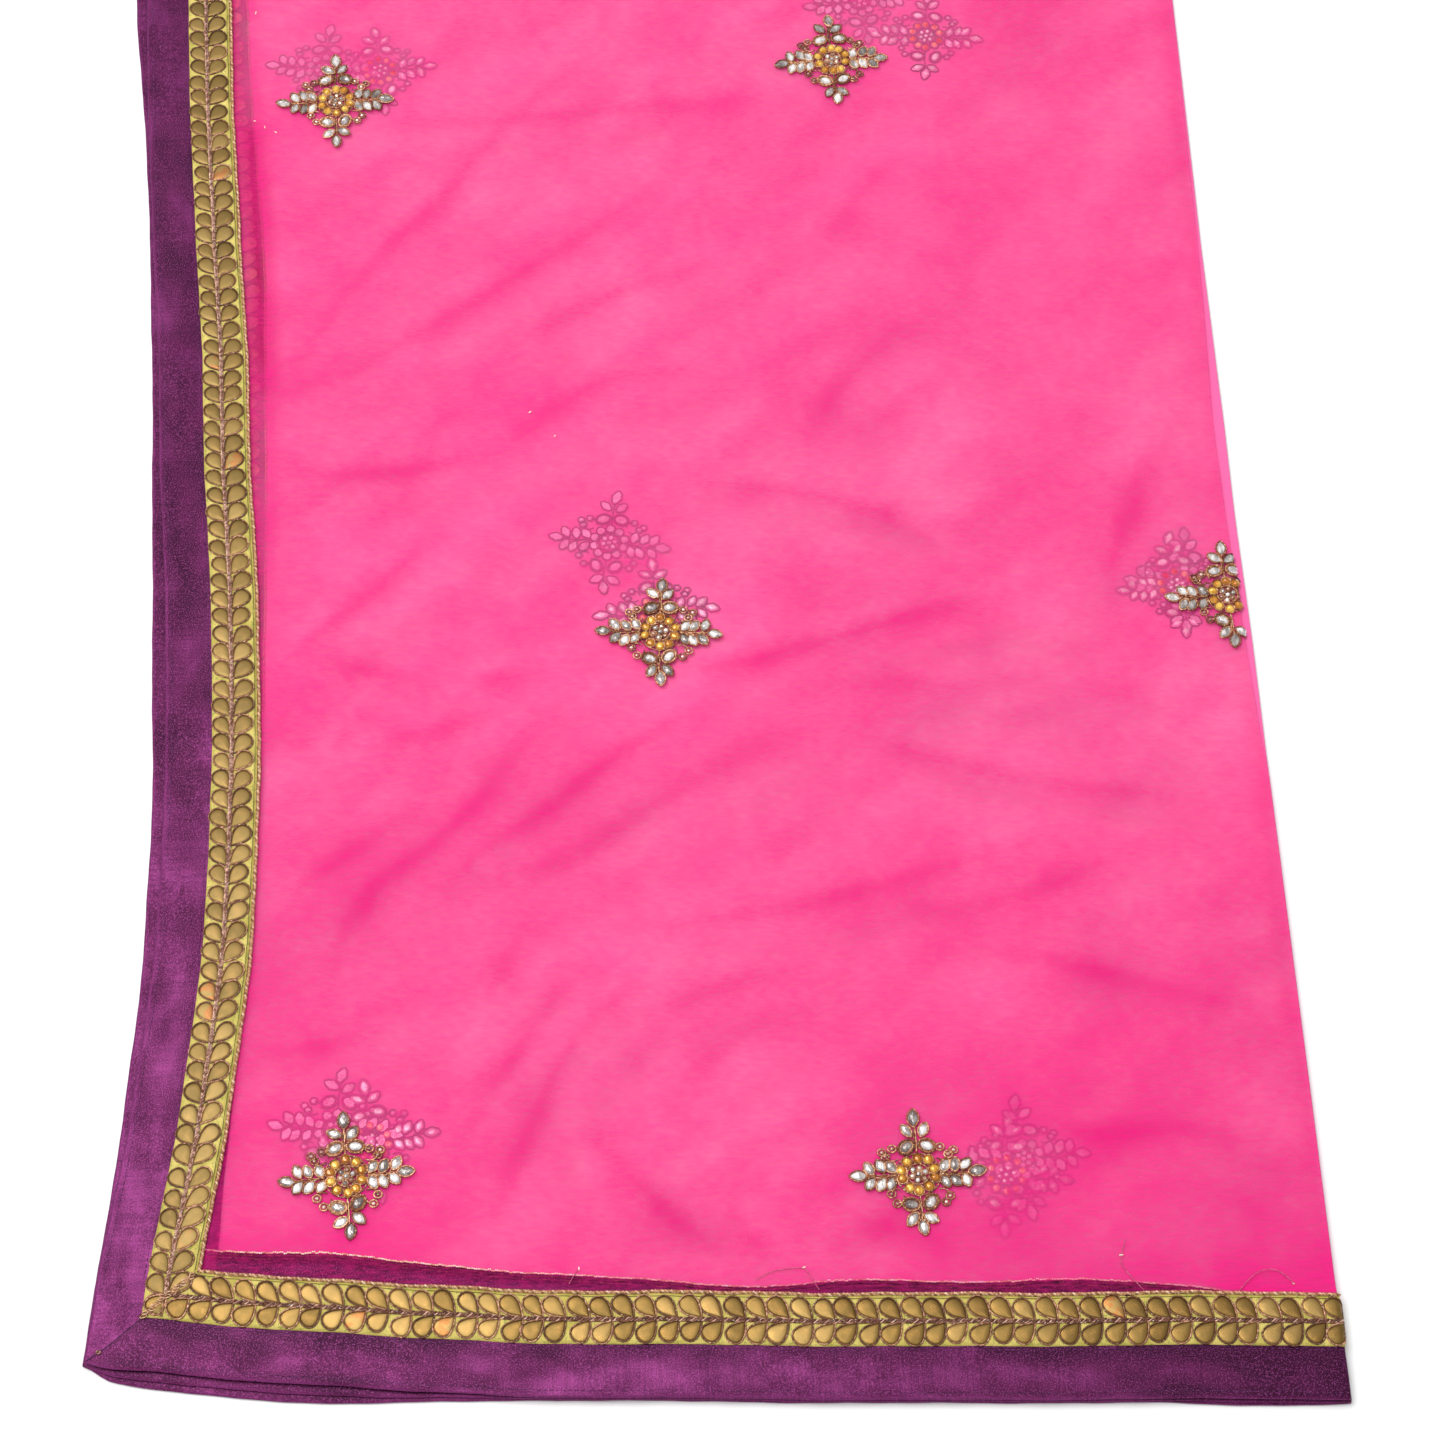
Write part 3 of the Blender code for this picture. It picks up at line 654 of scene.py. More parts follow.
def cut_stone(outline, tall, seed=0):
    """A foil-backed stone: a low girdle, sloping facets and a flat table."""
    n = len(outline)
    rng = np.random.default_rng(seed)
    rings = []
    for scale, z in ((0.97, 0.0), (1.0, 0.30), (0.60, 0.88)):
        ring = np.concatenate([outline * scale, np.full((n, 1), z * tall)], 1)
        rings.append(ring)
    rings[2][:, 2] += rng.uniform(-0.05, 0.05, n) * tall
    top = np.array([[0.0, 0.0, tall]])
    points = np.concatenate(rings + [top])
    j = np.arange(n)
    k = (j + 1) % n
    quads = np.concatenate([np.stack([j + r * n, k + r * n, k + (r + 1) * n, j + (r + 1) * n], -1)
                            for r in (0, 1)])
    tris = np.stack([j + 2 * n, k + 2 * n, np.full(n, 3 * n)], -1)
    base = np.array([list(range(n))[::-1]])
    return points, [quads, tris, base]


def joined(*shapes):
    points, quads, tris, other, count = [], [], [], [], 0
    for p, faces in shapes:
        points.append(p)
        for block in faces:
            block = np.asarray(block, int) + count
            (quads if block.shape[1] == 4 else tris if block.shape[1] == 3
             else other).append(block)
        count += len(p)
    out = [np.concatenate(q) for q in (quads, tris) if q]
    return np.concatenate(points), out + other


# ------------------------------------------------------------------ materials
class Nodes:
    def __init__(self, name):
        self.mat = bpy.data.materials.new(name)
        self.mat.use_nodes = True
        self.tree = self.mat.node_tree
        self.tree.nodes.clear()
        self.out = self.add("ShaderNodeOutputMaterial")

    def add(self, kind, ins=None, **props):
        node = self.tree.nodes.new(kind)
        for key, value in props.items():
            setattr(node, key, value)
        for key, value in (ins or {}).items():
            socket = node.inputs[key]
            if isinstance(value, bpy.types.NodeSocket):
                self.tree.links.new(value, socket)
            else:
                socket.default_value = value
        return node

    def math(self, op, a, b=0.0, clamp=False):
        return self.add("ShaderNodeMath", {0: a, 1: b}, operation=op, use_clamp=clamp).outputs[0]

    def place(self, kind="Object"):
        return self.add("ShaderNodeTexCoord").outputs[kind]

    def attribute(self, name, out="Fac"):
        return self.add("ShaderNodeAttribute", attribute_name=name).outputs[out]

    def mapped(self, vector, scale=(1, 1, 1), rotation=(0, 0, 0), location=(0, 0, 0)):
        return self.add("ShaderNodeMapping", {"Vector": vector, "Scale": scale,
                                              "Rotation": rotation,
                                              "Location": location}).outputs[0]

    def noise(self, vector, scale, detail=3.0, rough=0.5):
        return self.add("ShaderNodeTexNoise", {"Vector": vector, "Scale": scale,
                                               "Detail": detail,
                                               "Roughness": rough}).outputs["Fac"]

    def wave(self, vector, scale, axis="Y", distort=0.0, detail=1.0, dscale=1.0):
        return self.add("ShaderNodeTexWave", {"Vector": vector, "Scale": scale,
                                              "Distortion": distort, "Detail": detail,
                                              "Detail Scale": dscale},
                        bands_direction=axis).outputs["Fac"]

    def ramp(self, fac, stops):
        node = self.add("ShaderNodeValToRGB", {"Fac": fac})
        ramp = node.color_ramp
        while len(ramp.elements) < len(stops):
            ramp.elements.new(0.5)
        for element, (at, colour) in zip(ramp.elements, stops):
            element.position = at
            element.color = (*colour, 1.0)
        return node.outputs["Color"]

    def mix(self, fac, a, b, blend="MIX"):
        node = self.add("ShaderNodeMix", data_type="RGBA", blend_type=blend)
        for socket, value in ((node.inputs[0], fac), (node.inputs[6], a), (node.inputs[7], b)):
            if isinstance(value, bpy.types.NodeSocket):
                self.tree.links.new(value, socket)
            elif isinstance(value, (tuple, list)):
                socket.default_value = (*value[:3], 1.0)
            else:
                socket.default_value = value
        return node.outputs[2]

    def bump(self, height, strength, distance):
        return self.add("ShaderNodeBump", {"Height": height, "Strength": strength,
                                           "Distance": distance}).outputs["Normal"]

    def range(self, value, low, high, to_low=0.0, to_high=1.0):
        return self.add("ShaderNodeMapRange", {"Value": value, "From Min": low, "From Max": high,
                                               "To Min": to_low, "To Max": to_high}).outputs[0]

    def finish(self, shader):
        self.tree.links.new(shader, self.out.inputs["Surface"])
        return self.mat

    def principled(self, **ins):
        names = {key.replace("_", " "): value for key, value in ins.items()}
        for key, value in list(names.items()):
            if isinstance(value, tuple) and len(value) == 3:
                names[key] = (*value, 1.0)
        return self.add("ShaderNodeBsdfPrincipled", names)


def srgb(r, g, b):
    def one(v):
        v /= 255.0
        return v / 12.92 if v <= 0.04045 else ((v + 0.055) / 1.055) ** 2.4
    return (one(r), one(g), one(b))


def net_material(name, dull, deep, cover, ribbed):
    """One layer of fine net: mottled density, with painted shade in its creases and near its borders, ribs
    on the outer one, seen through.
    """
    n = Nodes(name)
    crease_and_shade = n.attribute("crease_and_shade")
    density = n.attribute("thread_share_and_shade")
    if ribbed:
        threads = n.noise(n.mapped(n.place(), scale=(0.25, 1.0, 1.0)), 800.0, 1.0, 0.5)
        weave = n.math("MULTIPLY_ADD", threads, 0.44)
        weave.node.inputs[2].default_value = cover - 0.22
        fac = n.math("ADD", density, weave, clamp=True)
    else:
        fac = n.math("ADD", density, cover, clamp=True)
    # mix toward the deep colour along creases: partly the doubled net, partly painted shade; lighter on
    # ridges as painted highlight
    deeper = n.mix(crease_and_shade, dull, deep)
    thread = n.principled(Base_Color=deeper, Roughness=0.9)
    thread.inputs["Specular IOR Level"].default_value = 0.0
    gap = n.add("ShaderNodeBsdfTransparent", {"Color": (1.0, 0.785, 0.893, 1.0)})
    both = n.add("ShaderNodeMixShader", {0: fac, 1: gap.outputs[0], 2: thread.outputs[0]})
    return n.finish(both.outputs[0])


def cloth_material(name, thin, thick, doubled):
    """A lower layer of net, with nothing seen behind it: ribs, patches and creases only, the creases partly
    painted shade.
    """
    n = Nodes(name)
    ribs = n.wave(n.place(), 285.6, "Y")
    density = n.attribute("thread_share_and_shade")
    part = n.math("MULTIPLY_ADD", ribs, 0.22)
    part.node.inputs[2].default_value = 0.36
    part = n.math("ADD", part, n.math("MULTIPLY", density, 1.2), clamp=True)
    colour = n.ramp(part, ((0.0, thin), (0.90, thick), (1.0, doubled)))
    shader = n.principled(Base_Color=colour, Roughness=0.8)
    shader.inputs["Specular IOR Level"].default_value = 0.1
    return n.finish(shader.outputs[0])


def satin_material(name, lift=0.0):
    """Purple dupion satin with slubs across the strip and a soft grain; its colour also holds painted sheen
    patches, painted sparkle, and the painted light and shade of the tone attribute.
    """
    n = Nodes(name)
    strip = n.attribute("strip", "Vector")
    slub = n.noise(n.mapped(strip, scale=(1.0, 0.06, 1.0)), 700.0, 2.0, 0.6)
    lines = n.noise(n.mapped(strip, scale=(1.0, 0.05, 1.0), location=(3, 1, 0)), 240.0, 1.0, 0.5)
    grain = n.noise(strip, 1700.0, 1.0, 0.6)
    sheen_patch = n.noise(n.mapped(strip, scale=(1.0, 1.8, 1.0)), 34.0, 2.0, 0.6)
    dark, mid, light = srgb(56, 12, 44), srgb(88, 25, 70), srgb(126, 48, 106)
    shade = n.attribute("tone")
    # dark to light purple by the patch noise and the tone attribute: painted sheen patches and painted light
    # and shade
    colour = n.ramp(n.math("ADD", n.math("MULTIPLY", sheen_patch, 0.5), n.math("MULTIPLY", shade, 0.5)),
                    ((0.36, dark), (0.50, mid), (0.64, light)))
    colour = n.mix(n.range(slub, 0.35, 0.7, 0.0, 0.4), colour, srgb(56, 12, 46))
    colour = n.mix(n.range(lines, 0.64, 0.74, 0.0, 0.35), colour, srgb(44, 8, 38))
    # light specks of the grain are painted sparkle; the dark specks are the weave's own
    colour = n.mix(n.range(grain, 0.52, 0.68, 0.0, 0.55), colour, srgb(148, 68, 128))
    colour = n.mix(n.range(grain, 0.46, 0.34, 0.0, 0.45), colour, srgb(48, 9, 40))
    height = n.math("ADD", n.math("MULTIPLY", slub, 0.7), n.math("MULTIPLY", grain, 0.5))
    normal = n.bump(height, 0.55, 0.00025)
    rough = n.range(sheen_patch, 0.3, 0.7, 0.52, 0.40)
    shader = n.principled(Base_Color=colour, Roughness=rough, Normal=normal)
    shader.inputs["Metallic"].default_value = 0.45
    shader.inputs["Specular IOR Level"].default_value = 0.12
    shader.inputs["Anisotropic"].default_value = 0.4
    return n.finish(shader.outputs[0])


def ribbon_material(name, shaded=False):
    """Lime ribbon ground of the lace, finely ribbed, with green flecks."""
    n = Nodes(name)
    strip = n.attribute("strip", "Vector")
    weave = n.wave(n.mapped(strip), 420.0, "X", 0.8, 1.0, 0.3)
    weft = n.wave(n.mapped(strip), 520.0, "Y", 0.8, 1.0, 0.3)
    fleck = n.noise(strip, 700.0, 3.0, 0.6)
    tone = n.noise(strip, 120.0, 2.0, 0.5)
    if shaded:
        low, high, green = srgb(96, 62, 44), srgb(130, 88, 62), srgb(78, 60, 40)
    else:
        low, high, green = srgb(200, 182, 84), srgb(236, 214, 120), srgb(142, 158, 66)
    colour = n.mix(n.range(tone, 0.35, 0.65), low, high)
    colour = n.mix(n.range(fleck, 0.54, 0.64, 0.0, 0.75), colour, green)
    colour = n.mix(n.math("MULTIPLY", weave, 0.3), colour, tuple(0.6 * c for c in low))
    normal = n.bump(n.math("ADD", weave, weft), 0.5, 0.0002)
    shader = n.principled(Base_Color=colour, Roughness=0.5, Normal=normal)
    shader.inputs["Metallic"].default_value = 0.15
    return n.finish(shader.outputs[0])


def leaf_material(name, matte):
    """Gold foil leaves: fine strips of foil, warm stains on a few."""
    n = Nodes(name)
    strip = n.attribute("strip", "Vector")
    tone = n.attribute("tone")
    foil = n.wave(n.mapped(strip, rotation=(0, 0, 0.5)), 620.0, "X", 1.6, 2.0, 0.4)
    cloud = n.noise(strip, 260.0, 2.0, 0.5)
    if matte:
        stops = ((0.0, srgb(114, 92, 42)), (0.5, srgb(134, 109, 54)), (1.0, srgb(154, 128, 72)))
    else:
        stops = ((0.0, srgb(106, 82, 36)), (0.5, srgb(128, 102, 50)), (1.0, srgb(164, 134, 78)))
    colour = n.ramp(tone, stops)
    colour = n.mix(n.range(cloud, 0.4, 0.7, 0.0, 0.30), colour, srgb(146, 104, 48))
    stain = n.math("MULTIPLY", n.range(tone, 0.955, 0.965), n.range(cloud, 0.46, 0.56), clamp=True)
    colour = n.mix(n.math("MULTIPLY", stain, 0.75), colour, srgb(170, 102, 52))
    colour = n.mix(n.math("MULTIPLY", foil, 0.22), colour, srgb(112, 80, 40))
    normal = n.bump(n.math("ADD", n.math("MULTIPLY", foil, 0.4), cloud), 0.25 if matte else 0.30, 0.0003)
    rough = n.range(cloud, 0.3, 0.7, 0.48 if matte else 0.42, 0.34 if matte else 0.26)
    shader = n.principled(Base_Color=colour, Roughness=rough, Normal=normal)
    shader.inputs["Metallic"].default_value = 0.55 if matte else 0.75
    return n.finish(shader.outputs[0])


def thread_material(name, dark, mid, light, metal=0.45, rough=0.42, scale=1600.0):
    """Metallic thread: wound strands, with painted shade in the gaps between them and painted highlights and
    glints on their turns.
    """
    n = Nodes(name)
    place = n.place()
    tone = n.attribute("tone")
    wound = n.noise(place, scale, 3.0, 0.7)
    painted_glint = n.noise(n.mapped(place, location=(4, 2, 7)), scale * 1.7, 2.0, 0.6)
    colour = n.ramp(n.math("ADD", n.math("MULTIPLY", wound, 0.8), n.math("MULTIPLY", tone, 0.2)),
                    ((0.36, dark), (0.52, mid), (0.70, light)))
    # bright spots: painted glints on the metal
    colour = n.mix(n.range(painted_glint, 0.62, 0.72, 0.0, 0.8), colour,
                   tuple(min(1.0, c * 1.5 + 0.1) for c in light))
    normal = n.bump(wound, 0.7, 0.0003)
    shader = n.principled(Base_Color=colour, Roughness=rough, Normal=normal)
    shader.inputs["Metallic"].default_value = metal
    return n.finish(shader.outputs[0])


def stone_material(name, low, mid, high, metal=0.85, rough=0.12):
    """Foil-backed stone: each one and each facet a little different, with painted reflection streaks, light
    and dark, in its colour.
    """
    n = Nodes(name)
    place = n.place()
    tone = n.attribute("tone")
    streak = n.noise(n.mapped(place, scale=(1.0, 0.45, 1.0), rotation=(0, 0, 0.6)), 420.0, 3.0, 0.6)
    # streaks from low to high: painted reflections, white highlights and grey shading
    colour = n.ramp(n.math("ADD", n.math("MULTIPLY", streak, 0.75), n.math("MULTIPLY", tone, 0.25)),
                    ((0.34, low), (0.50, mid), (0.62, high)))
    normal = n.bump(streak, 0.25, 0.0004)
    shader = n.principled(Base_Color=colour, Roughness=rough, Normal=normal)
    shader.inputs["Metallic"].default_value = metal
    shader.inputs["Coat Weight"].default_value = 0.6
    shader.inputs["Coat Roughness"].default_value = 0.04
    return n.finish(shader.outputs[0])


# ================================================================== the frame
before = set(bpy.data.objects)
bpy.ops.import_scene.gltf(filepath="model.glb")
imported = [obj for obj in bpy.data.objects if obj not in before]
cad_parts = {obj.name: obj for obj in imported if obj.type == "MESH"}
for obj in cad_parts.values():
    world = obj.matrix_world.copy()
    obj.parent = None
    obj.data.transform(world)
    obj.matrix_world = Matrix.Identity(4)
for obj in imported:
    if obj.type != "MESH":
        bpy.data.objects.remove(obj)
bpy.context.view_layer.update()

scene = bpy.context.scene
scene.view_settings.view_transform = "Standard"
scene.view_settings.look = "None"
scene.cycles.transparent_max_bounces = 32
scene.cycles.max_bounces = 2
scene.cycles.diffuse_bounces = 2
scene.cycles.glossy_bounces = 1

camera_data = bpy.data.cameras.new("camera")
camera_data.lens = 77.87
camera_data.sensor_width = 36.0
camera_data.clip_start, camera_data.clip_end = 0.05, 50.0
camera = bpy.data.objects.new("camera", camera_data)
camera.location = (-0.00294, -0.91418, 1.3086)
camera.rotation_euler = (math.radians(26.0), 0.0, -math.radians(2.09))
scene.collection.objects.link(camera)
scene.camera = camera


def make_floor():
    mesh = bpy.data.meshes.new("floor")
    w = 4.0
    mesh.from_pydata([(-w, -w, -0.0003), (w, -w, -0.0003), (w, w, -0.0003), (-w, w, -0.0003)],
                     [], [(0, 1, 2, 3)])
    n = Nodes("floor_pale")
    grain = n.noise(n.place(), 40.0, 2.0, 0.5)
    colour = n.mix(n.range(grain, 0.3, 0.7), (0.90, 0.90, 0.90), (0.92, 0.92, 0.92))
    shader = n.principled(Base_Color=colour, Roughness=0.9)
    shader.inputs["Specular IOR Level"].default_value = 0.1
    mesh.materials.append(n.finish(shader.outputs[0]))
    floor = bpy.data.objects.new("floor", mesh)
    scene.collection.objects.link(floor)


def make_light(name, place, aim, size, energy):
    data = bpy.data.lights.new(name, "AREA")
    data.shape = "RECTANGLE"
    data.size, data.size_y = size
    data.energy = energy
    obj = bpy.data.objects.new(name, data)
    obj.location = place
    way = np.array(aim, float) - np.array(place, float)
    from mathutils import Vector
    obj.rotation_euler = Vector(way).to_track_quat("-Z", "Y").to_euler()
    scene.collection.objects.link(obj)


def make_world():
    world = bpy.data.worlds.new("studio")
    world.use_nodes = True
    scene.world = world
    tree = world.node_tree
    tree.nodes.clear()
    out = tree.nodes.new("ShaderNodeOutputWorld")
    back = tree.nodes.new("ShaderNodeBackground")
    back.inputs["Strength"].default_value = 0.78
    coords = tree.nodes.new("ShaderNodeTexCoord")
    split = tree.nodes.new("ShaderNodeSeparateXYZ")
    ramp = tree.nodes.new("ShaderNodeValToRGB")
    stops = ((0.0, 0.85), (0.45, 0.60), (0.62, 0.92), (0.80, 0.70), (1.0, 1.10))
    while len(ramp.color_ramp.elements) < len(stops):
        ramp.color_ramp.elements.new(0.5)
    for element, (at, v) in zip(ramp.color_ramp.elements, stops):
        element.position = at
        element.color = (v, v, v, 1.0)
    tree.links.new(coords.outputs["Generated"], split.inputs[0])
    half = tree.nodes.new("ShaderNodeMath")
    half.operation = "MULTIPLY_ADD"
    half.inputs[1].default_value = 0.5
    half.inputs[2].default_value = 0.5
    tree.links.new(split.outputs["Z"], half.inputs[0])
    tree.links.new(half.outputs[0], ramp.inputs["Fac"])
    tree.links.new(ramp.outputs["Color"], back.inputs["Color"])
    tree.links.new(back.outputs[0], out.inputs["Surface"])


make_floor()
make_world()
make_light("key", (-0.8, 0.1, 2.4), (0.0, 0.0, 0.0), (1.5, 1.5), 49.0)

# INNER_DULL, for layer B, is paler than OUTER_DULL though both are the same net: painted light, making up
# for the light that layer A holds back
OUTER_DULL, INNER_DULL = (1.0, 0.028, 0.30), (1.0, 0.60, 0.80)
NET_MATS = {
    "A": net_material("net_outer", OUTER_DULL, (0.78, 0.008, 0.18), 0.30, True),
    "B": net_material("net_inner", INNER_DULL, (0.52, 0.020, 0.10), 0.30, False),
    "C": cloth_material("net_inner_low", srgb(254, 172, 206), srgb(250, 128, 178), srgb(238, 104, 164)),
    "D": cloth_material("net_underside", srgb(252, 176, 206), srgb(244, 104, 164), srgb(236, 98, 158)),
}
SATIN = satin_material("purple_satin")
RIBBON = ribbon_material("lime_ribbon")
LEAF_SIDE = leaf_material("gold_leaf_matte", True)
LEAF_END = leaf_material("gold_leaf_bright", False)
OUTLINE = thread_material("copper_outline", srgb(76, 42, 28), srgb(128, 82, 56), srgb(222, 168, 134),
                          0.4, 0.42, 700.0)
VEIN = thread_material("copper_vein", srgb(84, 42, 32), srgb(132, 82, 62), srgb(240, 196, 176),
                       0.4, 0.38, 620.0)
CORD = thread_material("gold_cord", srgb(140, 88, 54), srgb(206, 152, 108), srgb(255, 228, 196), 0.4,
                       0.38, 900.0)
WIRE = thread_material("gold_wire", srgb(92, 44, 24), srgb(160, 100, 64), srgb(250, 200, 156),
                       0.5, 0.30, 800.0)
HIDDEN_WIRE = thread_material("gold_wire_hidden", srgb(44, 12, 12), srgb(78, 30, 26),
                              srgb(170, 96, 80), 0.05, 0.6, 500.0)
# HIDDEN_AMBER and HIDDEN_STONE are paler, barely metallic copies of the stones for the motifs under the net:
# on layer C the paleness is painted reflection standing in for the stones' shine; on layer B they show the
# stones' foil backs
HIDDEN_AMBER = stone_material("amber_stone_hidden", srgb(196, 84, 44), srgb(226, 128, 84),
                              srgb(246, 190, 150), 0.1, 0.4)
HIDDEN_STONE = stone_material("foil_stone_hidden", srgb(200, 190, 186), srgb(236, 230, 226),
                              srgb(255, 255, 252), 0.15, 0.35)
RIBBON_SHADED = ribbon_material("lime_ribbon_shaded", True)
# near-white, not metallic: painted glints for the dots of layer B's cord stitches and for sparkles on the
# net
GLINT = thread_material("bright_stitches", srgb(206, 140, 100), srgb(255, 226, 190),
                        srgb(255, 255, 250), 0.0, 0.4, 420.0)
LEAF_SHADED = thread_material("foil_leaf_shaded", srgb(140, 84, 60), srgb(190, 132, 98),
                              srgb(226, 176, 134), 0.1, 0.5, 300.0)
OUTLINE_SHADED = thread_material("outline_shaded", srgb(50, 20, 18), srgb(84, 34, 28),
                                 srgb(120, 60, 46), 0.1, 0.5, 700.0)
SILVER_STONE = stone_material("silver_stone", srgb(112, 100, 96), srgb(180, 172, 168),
                              srgb(246, 242, 240), 0.35, 0.16)
AMBER_STONE = stone_material("amber_stone", srgb(168, 96, 14), srgb(208, 140, 28),
                             srgb(244, 198, 88), 0.30, 0.20)
ROSE_STONE = stone_material("rose_stone", srgb(120, 78, 62), srgb(176, 134, 112),
                            srgb(236, 206, 188), 0.4, 0.2)
PURPLE_THREAD = thread_material("purple_thread", srgb(48, 12, 54), srgb(86, 34, 92),
                                srgb(150, 84, 158), 0.0, 0.6)
STRAY_THREAD = thread_material("stray_thread", srgb(150, 30, 84), srgb(190, 60, 110),
                               srgb(230, 130, 160), 0.0, 0.6)
GREEN_THREAD = thread_material("green_thread", srgb(60, 74, 22), srgb(96, 104, 36),
                               srgb(140, 140, 60), 0.0, 0.6)


# ================================================================== net sheets
def net_leaf(name, first, second, cols_a, cols_b, rows):
    """Two layers in one sheet: the upper one, the lengthwise fold, the lower
    one, and a quarter of the crosswise fold at their far end."""
    turn_cols = 9
    far_first, far_second = TURN_FAR[first], TURN_FAR[second]
    across, along = np.linspace(0, 1, cols_a), np.linspace(0, 1, rows)
    if rows > 300:
        # closer together just inside the borders
        across = np.concatenate([np.linspace(0, 0.072, 10, False), np.linspace(0.072, 0.118, 20, False),
                                 np.linspace(0.118, 1, cols_a - 30)])
        along = np.concatenate([np.linspace(0, 0.034, 10, False), np.linspace(0.034, 0.060, 26, False),
                                np.linspace(0.060, 1, rows - 36)])
    u = np.concatenate([across, np.ones(turn_cols), np.linspace(1, 0, cols_b)])
    w = np.concatenate([np.zeros(cols_a), np.linspace(0, 1, turn_cols + 2)[1:-1], np.ones(cols_b)])
    v = np.concatenate([along, np.ones(6)])
    a = np.concatenate([np.zeros(rows), np.linspace(0, 1, 7)[1:]]) * math.pi / 2
    u, w = u[:, None] + 0 * v[None], w[:, None] + 0 * v[None]
    v, a = v[None] + 0 * u, a[None] + 0 * u

    def flat(layer):
        x = np.zeros(u.shape)
        y = v * NOSE_Y
        for _ in range(6):
            start = side_edge(layer, y) + 0.003
            x = start + (fold_x(layer, y) - start) * u
            near = end_edge(layer, x) + 0.003
            y = near + (NOSE_Y - near) * v
        return x, y

    def leaf(one, two):
        xa, ya = flat(one)
        xb, yb = flat(two)
        za, wa = net_height(one, xa, ya), relief(one, xa, ya)[1]
        zb, wb = net_height(two, xb, yb), relief(two, xb, yb)[1]
        veil_a, veil_b = painted_shade_over_lace(one, xa, ya), painted_shade_over_lace(two, xb, yb)
        da, db = density_and_shade_of(one, xa, ya, wa), density_and_shade_of(two, xb, yb, wb)
        # where the mask is high, layer B's net takes its deep colour: painted shade over layer C's lace
        wa = np.clip(wa * 0.30 + 0.9 * da + 0.20, 0.0, 1.0) * (1 - veil_a) + veil_a
        wb = np.clip(wb * 0.25 + 0.7 * db + 0.15, 0.0, 1.0) * (1 - veil_b) + veil_b
        da, db = da * (1 - veil_a) + 0.14 * veil_a, db * (1 - veil_b) + 0.14 * veil_b
        c = (1 + np.cos(math.pi * w)) / 2
        x = xa * c + xb * (1 - c) + np.abs(za - zb) / 2 * np.sin(math.pi * w)
        thick = da * c + db * (1 - c)
        return (np.stack([x, ya * c + yb * (1 - c), za * c + zb * (1 - c)], -1),
                wa * c + wb * (1 - c), thick)

    near, crease_and_shade, thick = leaf(first, second)
    away, _, _ = leaf(far_first, far_second)
    points = turn(near, away, a, 1)
    soup = Soup()
    cols, count = u.shape
    quads = grid_faces(cols, count)
    half = (np.arange(len(quads)) // (count - 1)) >= cols_a + turn_cols // 2
    if UP[first] < 0:
        quads = quads[:, ::-1]
    soup.add(points, [quads], 0, True, 0.5)
    obj = soup.build(name, [NET_MATS[first], NET_MATS[second]])
    obj.data.polygons.foreach_set("material_index", half.astype(np.int32))
    attribute = obj.data.attributes.new("crease_and_shade", "FLOAT", "POINT")
    attribute.data.foreach_set("value", crease_and_shade.astype(np.float32).ravel())
    attribute = obj.data.attributes.new("thread_share_and_shade", "FLOAT", "POINT")
    attribute.data.foreach_set("value", thick.astype(np.float32).ravel())
    obj.data.update()
    return obj


upper_leaf = net_leaf("net_upper_leaf", "A", "B", 172, 44, 424)
lower_leaf = net_leaf("net_lower_leaf", "C", "D", 44, 60, 140)


# ================================================================== satin bands
SIDE_SHADE = curve_of(((0.03, 0.66), (0.07, 0.64), (0.11, 0.58), (0.17, 0.52), (0.24, 0.52),
                       (0.30, 0.44), (0.42, 0.38), (0.60, 0.44), (0.75, 0.48), (1.2, 0.50)))
END_SHADE = curve_of(((-0.27, 0.38), (-0.235, 0.26), (-0.205, 0.34), (-0.175, 0.34), (-0.14, 0.30),
                      (-0.10, 0.44), (-0.03, 0.52), (0.05, 0.52), (0.15, 0.40), (0.22, 0.20),
                      (0.27, 0.06)))


def satin_shade(along, s, t):
    """Painted light and shade along the satin, standing in for how it bows a little."""
    if along == "side":
        return SIDE_SHADE(s) + 0.06 * np.sin(s * 70 + t * 200)
    # across the end strip: a painted light band, then painted shade further in
    across = 0.14 * np.exp(-((t - 0.009) / 0.005) ** 2) - 0.12 * smoothstep((t - 0.013) / 0.008)
    return END_SHADE(s) + across + 0.05 * np.sin(s * 90 + t * 260)


